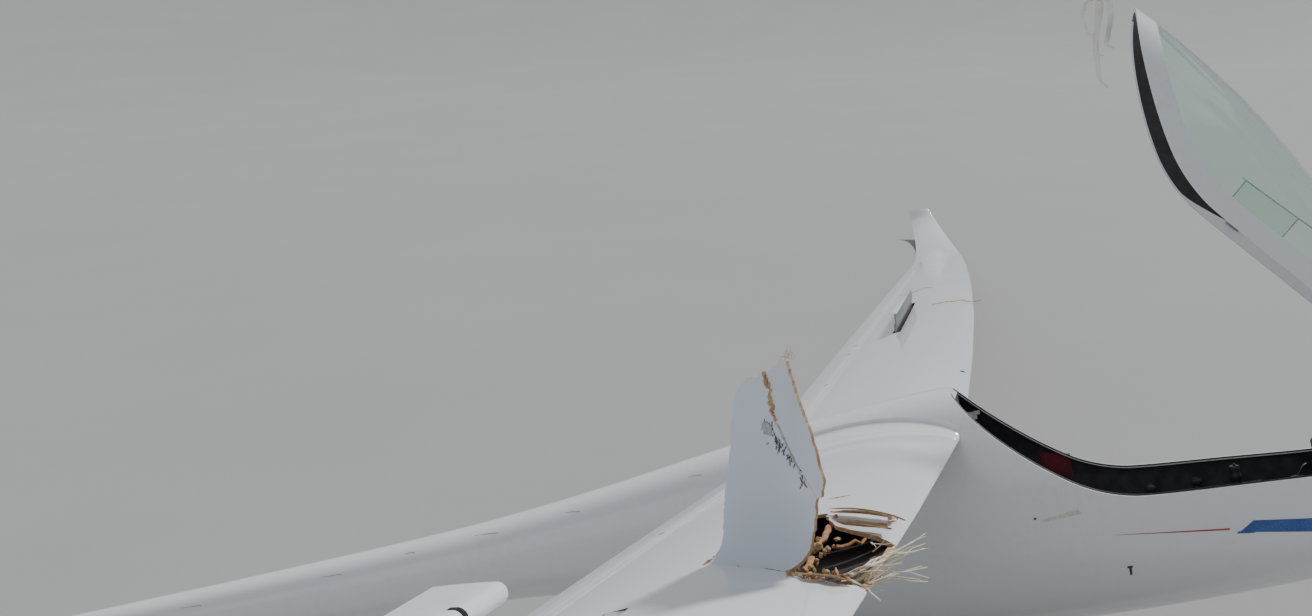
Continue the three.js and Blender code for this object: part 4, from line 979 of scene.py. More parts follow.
@dataclass
class WingShape:
    """The wing's planform, section and attitude."""

    hinge: float = 2604.0
    share: float = 0.85
    height: float = 311.0
    rise: float = math.tan(math.radians(3))
    incidence: float = math.radians(2.5)
    thick: float = 0.14
    bow: float = 0.022
    sections: tuple = ((262, 808), (1600, 786), (3150, 738), (4700, 660), (5700, 594), (6600, 526))

    def half_thickness(self, x: float, t: float) -> float:
        """Half the thickness at a share of the chord."""
        return 0.5 * t * math.sin(math.pi * max(0.0, x) ** 0.74) ** 0.85 if x < 1 else 0.0

    def camber(self, x: float) -> float:
        """Height of the middle line at a share of the chord."""
        return 4 * self.bow * x * (1 - x)

    def chord(self, y: float) -> float:
        """Chord at a distance out."""
        rows = self.sections
        i = max(1, next((k for k, row in enumerate(rows) if row[0] >= y), len(rows) - 1))
        (ya, ca), (yb, cb) = rows[i - 1], rows[i]
        return ca + (cb - ca) * (y - ya) / (yb - ya)

    def profile(self, end: float, t: float, count: int = 44, blunt: float = 0.0) -> list[tuple[float, float]]:
        """A section from its rear over the upper side to the nose and back below."""
        xs = [end * (1 - i / (count - 1)) ** 1.7 for i in range(count)][:-1]
        half = [max(blunt, self.half_thickness(x, t)) for x in xs]
        upper = [(x, self.camber(x) + h) for x, h in zip(xs, half)]
        lower = [(x, self.camber(x) - h) for x, h in zip(xs, half)]
        return [*upper, (0, 0.0006), (0, -0.0006), *reversed(lower)]

    def hinge_height(self, y: float) -> float:
        """Height of the hinge line."""
        return self.height + abs(y) * self.rise

    def radius(self, chord: float) -> float:
        """Radius of a flap's nose."""
        return chord * self.half_thickness(self.share, self.thick)

    def point(self, side: Side, y: float, chord: float, x: float, h: float, rise: float = 0.0, lean: float = 0.0,
              aft: float = 0.0) -> Vector:
        """A point of a section from shares of its chord."""
        back = (x - self.share) * chord
        up = (h - self.camber(self.share)) * chord
        cos, sin = math.cos(self.incidence), math.sin(self.incidence)
        lift = up * cos - back * sin
        tilt = math.radians(lean)
        return at(self.hinge + aft + back * cos + up * sin, side.value * (y - lift * math.sin(tilt)),
                  self.hinge_height(y) + rise + lift * math.cos(tilt))

    def over(self, side: Side, station: float, y: float, up: float = 0.0) -> Vector:
        """A point above the upper skin at a station and a distance out."""
        chord = self.chord(y)
        x = min(0.995, max(0.0, (station - self.hinge) / chord + self.share))
        h = self.camber(x) + self.half_thickness(x, self.thick) - self.camber(self.share)
        z = self.hinge_height(y) + h * chord - (x - self.share) * chord * math.sin(self.incidence)
        return at(station, side.value * y, z + up)

    def stops(self, start: float, end: float, step: float = 220.0) -> list[float]:
        """Distances out that hold every break of the planform."""
        fixed = [start, *[y for y, _ in self.sections if start < y < end], end]
        out = []
        for a, b in zip(fixed, fixed[1:]):
            count = max(1, round((b - a) / step))
            out += [a + (b - a) * i / count for i in range(count)]
        return [*out, end]

    def axis(self, side: Side) -> Vector:
        """Direction of the hinge line."""
        return Vector((0, side.value, self.rise)).normalized()


WING = WingShape()


def on_hinge(bm: bmesh.types.BMesh, point: Vector, axis: Vector) -> bmesh.types.BMesh:
    """Moves a mesh so that its y axis lies along a hinge line."""
    side = (Vector((1, 0, 0)) - axis * axis.x).normalized()
    turn = Matrix((side, axis, side.cross(axis))).transposed().to_4x4()
    bmesh.ops.transform(bm, matrix=Matrix.Translation(point) @ turn, verts=bm.verts[:])
    return bm


def hinge_arm(reach: float, point: Vector, axis: Vector) -> list[bmesh.types.BMesh]:
    """An arm with an eye on a hinge line and a pin through it."""
    arm = box(Vector((reach / 2, 0, 0)), (reach, 8, 12))
    eye = rod(Vector((0, -4, 0)), Vector((0, 4, 0)), 8, sides=24)
    pin = rod(Vector((0, -9.2, 0)), Vector((0, 9.2, 0)), 3, sides=12)
    return [on_hinge(part, point, axis) for part in (arm, eye, pin)]


def notch(thing: bpy.types.Object, nose: float, point: Vector, axis: Vector) -> None:
    """Cuts the room for a hinge's arm into a control surface, whose nose has that radius."""
    length = nose + 18
    block = on_hinge(box(Vector((length / 2 - 14, 0, 0)), (length, 19, 4 * nose)), point, axis)
    SHOP.cut(thing, SHOP.loose(block, "notch", Finish.GREY))


@dataclass
class Brake:
    """An airbrake: a lid over two blades in a slot."""

    start: float = 2500.0
    end: float = 3800.0
    share: float = 0.54
    slot: float = 44.0
    lid: float = 32.0
    thick: float = 5.0
    blade: float = 8.0
    deep: float = 74.0
    raised: float = 104.0

    def bar(self, side: Side, start: float, end: float, size: Sequence[float]) -> bmesh.types.BMesh:
        """A bar along the slot, from its front, rear, low and high sides about the skin at the slot."""
        h = WING.camber(self.share) + WING.half_thickness(self.share, WING.thick)
        near, far = (WING.point(side, y, WING.chord(y), self.share, h) for y in (self.start, self.end))
        front, rear, low, high = size
        rings = []
        for y in (start, end):
            middle = near.lerp(far, (y - self.start) / (self.end - self.start))
            corners = ((front, high), (front, low), (rear, low), (rear, high))
            rings.append([middle + Vector((x, 0, z)) for x, z in corners])
        return sheet_of(rings, True)

    def well(self, side: Side) -> bmesh.types.BMesh:
        """The slot's space."""
        return self.bar(side, self.start - 6, self.end + 6, (self.slot / 2, -self.slot / 2, -self.deep - 0.3, 40))

    def guides(self, side: Side) -> list[bmesh.types.BMesh]:
        """The blades' guides in the slot."""
        near = self.blade + 0.45
        far = near + 9
        parts = []
        for share in (0.2, 0.8):
            y = self.start + (self.end - self.start) * share
            for front, rear in ((far, near), (-near, -far)):
                parts.append(self.bar(side, y - 20, y + 20, (front, rear, -self.deep, -8)))
        return parts

    def build(self, side: Side) -> None:
        """The lid, the two blades and the guides of one side."""
        up = self.raised if side is Side.LEFT else 0.0
        word = side.word
        front, rear = self.blade + 0.15, -self.blade - 0.15
        lid = self.bar(side, self.start, self.end, (self.lid / 2, -self.lid / 2, up - self.thick, up))
        SHOP.piece(lid, f"{word}_brake_lid", Finish.GELCOAT, f"{word}_airbrake_body", angle=30, bevel=1.2,
                   stands_for=(f"{word}_airbrake",))
        blade = self.bar(side, self.start, self.end, (front, 0.15, up - self.deep, up - self.thick - 0.05))
        SHOP.piece(blade, f"{word}_brake_plate", Finish.GREY, f"{word}_airbrake_body", angle=30, bevel=0.6)
        lower = up / 2
        blade = self.bar(side, self.start, self.end, (-0.15, rear, lower - self.deep, lower - 11))
        SHOP.piece(blade, f"{word}_brake_blade_skin", Finish.GREY, f"{word}_blade_body", angle=30, bevel=0.6,
                   stands_for=(f"{word}_airbrake_blade",))
        SHOP.piece(merged(self.guides(side)), f"{word}_brake_guides", Finish.SLOT, angle=30)


BRAKE = Brake()


@dataclass
class Torn:
    """The torn place in the right wing."""

    rear: tuple = (2250.0, 2190.0)
    front: tuple = (2092.0, 2310.0)
    bend: float = 50.0
    skin: float = 7.0
    hole: tuple = ((2085, 2392), (2060, 2414), (2035, 2404), (2003, 2422), (1975, 2402), (1945, 2418), (1900, 2412),
                   (1900, 2042), (1962, 2008), (2000, 1985), (2045, 1962), (2080, 1925), (2105, 1850), (2120, 1785),
                   (2150, 1800), (2175, 1850), (2240, 1850), (2262, 1880), (2278, 2050), (2292, 2205))
    plate: tuple = ((-8, 0), (-5, 45), (34, 162), (71, 246), (89, 302), (115, 353), (149, 378), (181, 384), (192, 391),
                    (203, 362), (202, 312), (213, 288), (228, 260), (246, 223), (270, 186), (283, 164), (279, 157),
                    (266, 111), (244, 60), (225, 20), (218, 0))
    strip: tuple = ((200, 389), (222, 398), (244, 406), (250, 415), (257, 423), (263, 419), (276, 417), (283, 375),
                    (293, 335), (308, 289), (311, 248), (314, 203), (297, 170), (286, 166), (273, 190), (249, 228),
                    (231, 264), (216, 292), (205, 315), (206, 364))
    cracks: tuple = (((2128, 1722), (2100, 1716), (2077, 1712), (2040, 1722), (2008, 1736), (1975, 1748), (1950, 1762),
                      (1952, 1776), (1976, 1766), (2008, 1756), (2040, 1742), (2077, 1730), (2102, 1732)),
                     ((2154, 1592), (2126, 1566), (2098, 1538), (2102, 1550), (2126, 1580)),
                     ((2096, 1868), (2062, 1888), (2020, 1896), (1966, 1884), (1968, 1900), (2020, 1922), (2060, 1918)))

    def line(self, along: float, out: float) -> tuple[float, float]:
        """A station and distance out, from a distance along the panel's foot and outboard of it."""
        dx, dy = self.front[0] - self.rear[0], self.front[1] - self.rear[1]
        length = math.hypot(dx, dy)
        return (self.rear[0] + dx / length * along + dy / length * out,
                self.rear[1] + dy / length * along - dx / length * out)

    def bent(self, forward: float, along: float, off: float) -> Vector:
        """A point of the panel's skin, bent up from flat."""
        quarter = self.bend * math.pi / 2
        if along < quarter:
            angle = along / self.bend
            inward, up = (self.bend - off) * math.sin(angle), self.bend - (self.bend - off) * math.cos(angle)
        else:
            inward, up = self.bend - off, self.bend + along - quarter
        st, y = self.line(forward, self.bend - inward)
        foot = self.line(forward, self.bend)
        return at(st, -y, WING.over(Side.RIGHT, *foot).z + up - self.skin)

    def panel(self, outline: Sequence[tuple], name: str, swing: float, **more: object) -> None:
        """A bent plate of sandwich skin.

        Args:
            outline: its corners as distance forward and distance up the bent skin.
            name: the piece's name.
            swing: how far its front edge stands out of the plate's plane at its top.
            more: passed to the finished piece.
        """
        dice = random.Random(name)
        corners = ragged(outline, 7.0, 2.2, dice)
        bm = slab([Vector((x, y, 0)) for x, y in corners], Vector((0, 0, self.skin)))
        for level in range(10, 420, 12):
            bmesh.ops.bisect_plane(bm, geom=bm.verts[:] + bm.edges[:] + bm.faces[:], plane_co=(0, level, 0),
                                   plane_no=(0, 1, 0), dist=0.001)
        for level in range(15, 310, 22):
            bmesh.ops.bisect_plane(bm, geom=bm.verts[:] + bm.edges[:] + bm.faces[:], plane_co=(level, 0, 0),
                                   plane_no=(1, 0, 0), dist=0.001)
        bm.normal_update()
        # Outer face: gelcoat with painted shade; inner face: laminate; cut edges: foam.
        for face in bm.faces:
            face.material_index = 0 if face.normal.z > 0.5 else 1 if face.normal.z < -0.5 else 2
        out = Vector((-0.605, -0.796, 0)).normalized()
        for vert in bm.verts:
            x, y, off = vert.co
            share = max(0.0, min(1.0, (y - 150) / 250))
            bow = 5.0 * math.sin(x / 60) * share + swing * share * max(0.0, (x - 200) / 100)
            vert.co = self.bent(x, y, off) + out * bow
        SHOP.piece(bm, name, (Finish.PANEL, Finish.LAMINATE, Finish.FOAM), angle=40, **more)

    def opening(self) -> list[tuple[float, float]]:
        """The hole's outline seen from above."""
        foot = self.bend + 0.3
        outline = [self.line(-12, foot), self.line(222, foot), *self.hole]
        return ragged(outline, 16.0, 4.0, random.Random(5))

    def prism(self, outline: Sequence[tuple]) -> bmesh.types.BMesh:
        """An outline seen from above as a block down to the chord line."""
        low = min(WING.over(Side.RIGHT, st, y).z for st, y in outline) - 60
        return slab([at(st, -y, 0) + Vector((0, 0, low)) for st, y in outline], Vector((0, 0, 400)))

    def cut(self, wing: bpy.types.Object) -> None:
        """Hollows the wing round the hole and opens it.

        Args:
            wing: the right wing's main solid.
        """
        rings = []
        for y in WING.stops(1480, 2470, 165):
            chord = WING.chord(y)
            inset = self.skin / chord
            ring = []
            for x, h in WING.profile(0.62, WING.thick, 30):
                c = WING.camber(x)
                room = max(0.0008, abs(h - c) - inset)
                ring.append(WING.point(Side.RIGHT, y, chord, inset * 1.6 + x * (1 - inset * 1.6),
                                       c + math.copysign(room, h - c)))
            rings.append(ring)
        above = [[WING.point(Side.RIGHT, y, WING.chord(y), x, h) for x, h in
                  ((0.62, 0.3), (-0.08, 0.3), (-0.08, -0.006), (0.62, 0.05))] for y in (1400, 1600, 2700)]
        outlines = [self.opening(), *[ragged(c, 12.0, 1.6, random.Random(k)) for k, c in enumerate(self.cracks)]]
        for number, outline in enumerate(outlines):
            block = SHOP.loose(self.prism(outline), "opening", Finish.FOAM)
            SHOP.cut(block, SHOP.loose(sheet_of(above, True), "above", Finish.FOAM), "INTERSECT")
            if number == 0:
                # The hollow's walls take the near-black painted shade.
                SHOP.cut(block, SHOP.loose(sheet_of(rings, True), "hollow", Finish.CAVITY), "UNION")
            SHOP.cut(wing, block)

    def build(self) -> None:
        """Everything torn, apart from the wing's own cut skin."""
        self.panel(self.plate, "torn_plate", 0.0, stands_for=("right_torn_panel",))
        self.panel(self.strip, "torn_strip", 26.0)
        self.seam()
        self.inside()
        self.slivers()
        self.crumbs()
        self.splinters()

    def seam(self) -> None:
        """Foam core showing along the crack between the plate and its strip, and the cracked paint below."""
        dice = random.Random(21)
        line = [(199, 386), (205, 360), (204, 336), (204, 312), (215, 288), (230, 262), (248, 226), (272, 188)]
        parts = []
        for (x0, y0), (x1, y1) in zip(line, line[1:]):
            for i in range(7):
                u = i / 7
                x, y = x0 + (x1 - x0) * u + dice.uniform(-5, 5), y0 + (y1 - y0) * u
                size = dice.uniform(2.5, 6.5) * (1.0 if y > 300 else 0.55)
                parts.append(lump(self.bent(x, y, self.skin + dice.uniform(-3, 0.5)), size, dice))
        SHOP.piece(merged(parts), "seam_foam", Finish.FOAM, angle=25)
        parts = []
        for i in range(46):
            u = dice.random()
            x = 170 + 95 * u + dice.gauss(0, 9)
            y = 300 - 105 * u + dice.gauss(0, 11)
            ends = [self.bent(x + dice.uniform(-9, 9) * k, y + dice.uniform(-12, 12) * k, self.skin + 0.5)
                    for k in (-1, -0.3, 0.4, 1)]
            parts.append(strand(ends, 0.9, 0.3, 5))
        SHOP.piece(merged(parts), "crazed_paint", Finish.GRIME)
        parts = [slab([self.bent(x, y, self.skin + 0.6) for x, y in
                       ragged(patch, 4.0, 1.5, dice)], Vector((-0.6, -0.8, 0)) * 0.8)
                 for patch in (((168, 292), (184, 300), (197, 288), (192, 272), (175, 274)),
                               ((214, 284), (226, 292), (240, 262), (256, 232), (262, 214), (248, 216), (230, 246)))]
        SHOP.piece(merged(parts), "bared_laminate", Finish.BARED)
        tips = []
        for i in range(12):
            foot = self.bent(254 + i * 2.0 + dice.uniform(-1, 1), 417, 3.0)
            tips.append(strand([foot, foot + Vector((dice.uniform(-4, 4), dice.uniform(-3, 3), dice.uniform(6, 13))),
                                foot + Vector((dice.uniform(-11, 11), dice.uniform(-6, 6), dice.uniform(12, 26)))],
                               0.9, 0.25, 5))
        SHOP.piece(merged(tips), "edge_threads", Finish.FIBRE)

    def inside(self) -> None:
        """The spar's cap inside the torn place."""
        rows = []
        for y in WING.stops(1500, 2600, 180):
            chord = WING.chord(y)
            top = WING.camber(0.36) + WING.half_thickness(0.36, WING.thick) - 9 / chord
            low = WING.camber(0.36) - WING.half_thickness(0.36, WING.thick) + 9 / chord
            rows.append([WING.point(Side.RIGHT, y, chord, x, h) for x, h in
                         ((0.335, top), (0.395, top), (0.395, low), (0.335, low))])
        SHOP.piece(sheet_of(rows, True), "right_spar_cap", Finish.WARM, angle=30, bevel=1.0)

    def slivers(self) -> None:
        """Tongues of skin that curl up along the hole's edge."""
        dice = random.Random(8)
        tongues = (
            ("skin_tongue_a", ((2108, 1800), (2060, 1812), (2010, 1822), (1968, 1812), (1964, 1876), (2010, 1882),
                               (2060, 1872), (2090, 1846)), 6, 26),
            ("skin_tongue_b", ((2072, 1946), (2030, 1962), (1975, 1956), (1962, 1992), (2004, 1978),
                               (2045, 1962)), 10, 30),
            ("skin_tongue_c", ((2084, 2400), (2052, 2428), (2000, 2436), (1978, 2420), (2000, 2404),
                               (2040, 2398)), 4, 16))
        for name, outline, low, high in tongues:
            broken = ragged(outline, 12.0, 2.5, dice)
            middle = sum(y for _, y in broken) / len(broken)
            points = [WING.over(Side.RIGHT, st, y, 0.0) for st, y in broken]
            bm = slab(points, Vector((0, 0, 3.0)))
            bmesh.ops.triangulate(bm, faces=[f for f in bm.faces if len(f.verts) > 4])
            long = [edge for edge in bm.edges if edge.calc_length() > 20]
            bmesh.ops.subdivide_edges(bm, edges=long, cuts=2, use_grid_fill=True)
            span = max(abs(abs(v.co.y) - middle) for v in bm.verts)
            for vert in bm.verts:
                share = (abs(vert.co.y) - middle) / span
                vert.co.z += low + (high - low) * (share * 0.5 + 0.5) ** 2
            for face in bm.faces:
                face.material_index = 0 if face.normal.z > 0.3 else 1
            SHOP.piece(bm, name, (Finish.GELCOAT, Finish.FOAM), angle=50)

    def crumbs(self) -> None:
        """Broken foam about the hole."""
        dice = random.Random(33)
        places = []
        for st, y, z, spread, size, count in (
                (2104, 1864, 468, 20, 7, 8), (2086, 2125, 466, 26, 10, 8), (2108, 2000, 462, 30, 9, 7),
                (2040, 2296, 468, 26, 9, 8), (2088, 2379, 500, 16, 8, 12), (2051, 2362, 490, 22, 8, 10),
                (1992, 2347, 455, 20, 8, 7), (1974, 1800, 446, 12, 6, 7), (2094, 2270, 474, 26, 9, 8)):
            for _ in range(count):
                place = at(st + dice.gauss(0, spread * 0.5), -(y + dice.gauss(0, spread)),
                           z + dice.gauss(0, spread * 0.3))
                places.append(lump(place, dice.uniform(0.35, 1.0) * size, dice))
        SHOP.piece(merged(places), "foam_crumbs", Finish.FOAM, angle=20)
        bars = []
        for a, b, radius in (((2058, 2068, 468), (2004, 2034, 462), 8), ((2100, 2130, 466), (2082, 2320, 486), 8),
                             ((2036, 2250, 456), (1996, 2310, 450), 6), ((2010, 2340, 455), (2002, 2270, 444), 6),
                             ((2100, 1880, 468), (2096, 2060, 468), 9)):
            (s0, y0, z0), (s1, y1, z1) = a, b
            path = [at(s0 + (s1 - s0) * u, -(y0 + (y1 - y0) * u), z0 + (z1 - z0) * u)
                    + stray(dice, 5) for u in (0, 0.2, 0.4, 0.6, 0.8, 1)]
            bars.append(strand(path, radius, radius * 0.6, 7, 0.6))
        SHOP.piece(merged(bars), "foam_bars", Finish.WARM, angle=25)

    def splinters(self) -> None:
        """Split fibres that stand out past the leading edge."""
        dice = random.Random(4)
        root = Vector((-1992, -2330, 452))
        ends = [(1856, 2200, 500), (1862, 2205, 476), (1872, 2240, 452), (1906, 2240, 486), (1883, 2210, 414),
                (1850, 2380, 515), (1858, 2390, 466), (1896, 2410, 505), (1925, 2200, 462), (1938, 2420, 440)]
        parts = []
        for k, (st, y, z) in enumerate(ends):
            tip = at(st, -y, z)
            for i in range(2 if k < 6 else 1):
                start = root + stray(dice, 22)
                end = tip + stray(dice, 9)
                path = [start.lerp(end, u) + stray(dice, 3) + Vector((0, 0, 9 * math.sin(u * math.pi)))
                        for u in (0, 0.2, 0.4, 0.6, 0.8, 1)]
                thick = dice.uniform(3.4, 7.5) * (1.0 if i == 0 else 0.5)
                parts.append(strand(path, thick, dice.uniform(1.2, 2.4), 6, 0.5))
        for i in range(16):
            start = at(dice.uniform(1930, 2010), -dice.uniform(2020, 2400), dice.uniform(430, 462))
            swing = Vector((dice.uniform(5, 60), dice.uniform(-50, 50), dice.uniform(-12, 34)))
            parts.append(strand([start, start + swing * 0.4, start + swing * 0.7 + Vector((0, 0, 3)), start + swing],
                                dice.uniform(1.0, 2.2), 0.4, 5, 0.6))
        SHOP.piece(merged(parts), "fibre_splinters", Finish.FIBRE, angle=25)


def lump(place: Vector, size: float, dice: random.Random) -> bmesh.types.BMesh:
    """An uneven broken crumb."""
    bm = bmesh.new()
    bmesh.ops.create_icosphere(bm, subdivisions=2, radius=size)
    stretch = Vector([dice.uniform(0.5, 1.4) for _ in range(3)])
    for vert in bm.verts:
        vert.co = Vector([c * s for c, s in zip(vert.co, stretch)]) * dice.uniform(0.7, 1.2)
    bmesh.ops.translate(bm, verts=bm.verts[:], vec=place)
    return bm


TORN = Torn()


@dataclass
class TipSection:
    """A section of a wing tip: distance out, chord, extra rise, lean, shift aft and thickness."""

    y: float
    chord: float
    rise: float
    lean: float
    aft: float
    t: float


@dataclass
class Wings:
    """Both wings with their tips, flaps, ailerons, airbrakes and gap seals."""

    flap: tuple = (268.0, 2374.0, (420, 1400, 2260))
    aileron: tuple = (2380.0, 6594.0, (2560, 3900, 5250, 6500))
    torn_aileron: tuple = (20.0, 1.46, 0.26)
    tips: tuple = (
        (6600.3, 526, 0, 0, 0, 0.14), (7300, 458, 4, 1, 0, 0.135), (7720, 410, 12, 6, 4, 0.13),
        (8080, 360, 58, 16, 22, 0.125), (8420, 310, 132, 24, 52, 0.12), (8700, 266, 222, 38, 86, 0.11),
        (8880, 228, 318, 54, 114, 0.1), (8960, 196, 404, 64, 138, 0.095))

    def build(self) -> None:
        """Builds both sides."""
        for side in Side:
            self.main(side)
            self.tip(side)
            self.flap_piece(side)
            self.aileron_piece(side)
            BRAKE.build(side)
            self.seal(side)
        TORN.build()
        self.far_marks()

    def main(self, side: Side) -> None:
        """The fixed part of a wing."""
        rings = []
        for y in WING.stops(262, 6600):
            chord = WING.chord(y)
            end = WING.share - (WING.radius(chord) + 6) / chord
            rings.append([WING.point(side, y, chord, x, h) for x, h in WING.profile(end, WING.thick)])
        wing = SHOP.loose(sheet_of(rings, True), f"{side.word}_wing_skin", Finish.GELCOAT)
        if side is Side.RIGHT:
            TORN.cut(wing)
        SHOP.cut(wing, SHOP.loose(BRAKE.well(side), "well", Finish.SLOT))
        SHOP.finish(wing, Body.AIRFRAME, 32.0, (f"{side.word}_wing",))
        arms = [part for y in (*self.flap[2], *self.aileron[2]) for part in
                hinge_arm(WING.radius(WING.chord(y)) + 34, self.hinge_point(side, y), WING.axis(side))]
        SHOP.piece(merged(arms), f"{side.word}_wing_hinges", Finish.METAL, angle=40)

    @staticmethod
    def hinge_point(side: Side, y: float) -> Vector:
        """A point of the hinge line."""
        return at(WING.hinge, side.value * y, WING.hinge_height(y))

    def tip(self, side: Side) -> None:
        """The upturned tip panel, smooth through its sections."""
        rows = []
        for i in range(1, len(self.tips)):
            y0, y1 = self.tips[i - 1][0], self.tips[i][0]
            rows += [TipSection(y0 + (y1 - y0) * k / 6, *between(self.tips, i, k / 6)) for k in range(6)]
        rows.append(TipSection(*self.tips[-1]))
        rings = [[WING.point(side, s.y, s.chord, x, h, s.rise, s.lean, s.aft)
                  for x, h in WING.profile(1.0, s.t, 36, 0.0022)] for s in rows]
        SHOP.piece(sheet_of(rings, True), f"{side.word}_tip_skin", Finish.GELCOAT,
                   stands_for=(f"{side.word}_wing_tip",))

    def surface(self, side: Side, start: float, end: float) -> bmesh.types.BMesh:
        """A flap's or aileron's form, before its notches are cut."""
        rings = []
        for y in WING.stops(start, end):
            chord = WING.chord(y)
            radius = WING.radius(chord) / chord
            rear = [1, 0.993, 0.985, 0.975, 0.96, 0.94, 0.92, 0.9, 0.885]
            half = [max(0.0015, WING.half_thickness(x, WING.thick)) for x in rear]
            nose = [(WING.share + radius * math.cos(a), WING.camber(WING.share) + radius * math.sin(a))
                    for a in (math.radians(90 + 180 * k / 16) for k in range(17))]
            outline = [*[(x, WING.camber(x) + h) for x, h in zip(rear, half)], *nose,
                       *reversed([(x, WING.camber(x) - h) for x, h in zip(rear, half)])]
            rings.append([WING.point(side, y, chord, x, h) for x, h in outline])
        return sheet_of(rings, True)

    def notched(self, side: Side, start: float, end: float, hinges: Sequence[float], name: str) -> bpy.types.Object:
        """A flap's or aileron's form with its notches cut, not finished yet."""
        thing = SHOP.loose(self.surface(side, start, end), name, Finish.GELCOAT)
        for y in hinges:
            notch(thing, WING.radius(WING.chord(y)), self.hinge_point(side, y), WING.axis(side))
        return thing

    def flap_piece(self, side: Side) -> None:
        """A flap."""
        thing = self.notched(side, *self.flap, f"{side.word}_flap_skin")
        SHOP.finish(thing, f"{side.word}_flap_body", 32.0, (f"{side.word}_flap",))

    def aileron_piece(self, side: Side) -> None:
        """An aileron; the right one lies off all its hinges but the outer one."""
        thing = self.notched(side, *self.aileron, f"{side.word}_aileron_skin")
        body = "left_aileron_body"
        if side is Side.RIGHT:
            body = Body.AIRFRAME
            point = self.hinge_point(side, self.aileron[2][-1])
            twist, lift, swing = (math.radians(v) for v in self.torn_aileron)
            turn = (Matrix.Rotation(swing, 4, "Z") @ Matrix.Rotation(lift, 4, "X")
                    @ Matrix.Rotation(twist, 4, -WING.axis(side)))
            thing.data.transform(Matrix.Translation(point) @ turn @ Matrix.Translation(-point))
        SHOP.finish(thing, body, 32.0, (f"{side.word}_aileron",))

    def seal(self, side: Side) -> None:
        """The thin strip over the hinge gap."""
        end = self.aileron[1] if side is Side.LEFT else self.flap[1]
        rows = []
        for y in WING.stops(270, end, 300):
            chord = WING.chord(y)
            start = WING.share - (WING.radius(chord) + 24) / chord
            stop = WING.share - (WING.radius(chord) - 13) / chord
            row = []
            for k in range(9):
                x = start + (stop - start) * k / 8
                over = WING.camber(x) + WING.half_thickness(x, WING.thick) + 0.9 / chord
                row.append(WING.point(side, y, chord, x, over))
            rows.append(row)
        bm = film(rows, 0.7, Vector((0, 0, 1)))
        SHOP.piece(bm, f"{side.word}_gap_seal", Finish.TAPE, angle=60)

    @staticmethod
    def far_marks() -> None:
        """The crack, chip and scuff on the left wing's upper skin."""
        dice = random.Random(17)
        parts = []
        path = [WING.over(Side.LEFT, st, y, 0.6) for st, y in
                ((2240, 3500), (2190, 3560), (2120, 3600), (2080, 3690), (2030, 3700), (1985, 3790), (1950, 3830))]
        parts.append(strand(path, 3.2, 1.6, 6, 0.5))
        for i in range(18):
            k = dice.uniform(0, 5.99)
            start = path[int(k)].lerp(path[int(k) + 1], k % 1)
            swing = Vector((dice.uniform(-40, 40), dice.uniform(-34, 34), 0))
            parts.append(strand([start, start + swing * 0.5 + Vector((4, 0, 0)), start + swing], 1.6, 0.4, 5, 0.5))
        SHOP.piece(merged(parts), "far_wing_crack", Finish.WARM)
        flakes = [slab([WING.over(Side.LEFT, st, y, 0.4) for st, y in
                        ragged(((s, w), (s + 34, w + 12), (s + 22, w + 44), (s - 12, w + 30)), 9, 3, dice)],
                       Vector((0, 0, 0.8))) for s, w in ((2130, 3585), (2040, 3680), (1975, 3770))]
        SHOP.piece(merged(flakes), "far_wing_bared_core", Finish.FOAM, angle=40)
        chip = slab([WING.over(Side.LEFT, 1962 + 11 * math.cos(a), 1120 + 14 * math.sin(a), 0.3)
                     for a in (k / 14 * math.tau for k in range(14))], Vector((0, 0, 0.8)))
        SHOP.piece(chip, "far_wing_chip", Finish.GRIME)
        scuffs = []
        for i in range(9):
            st, y = 2300 + i * 26, 4560 + 60 * math.sin(i)
            path = [WING.over(Side.LEFT, st + 40 * u, y + 46 * u, 0.4) for u in (0, 0.5, 1)]
            scuffs.append(strand(path, 2.4, 0.8, 5, 0.4))
        SHOP.piece(merged(scuffs), "far_wing_scuffs", Finish.RED)


# ---------------------------------------------------------------- tail


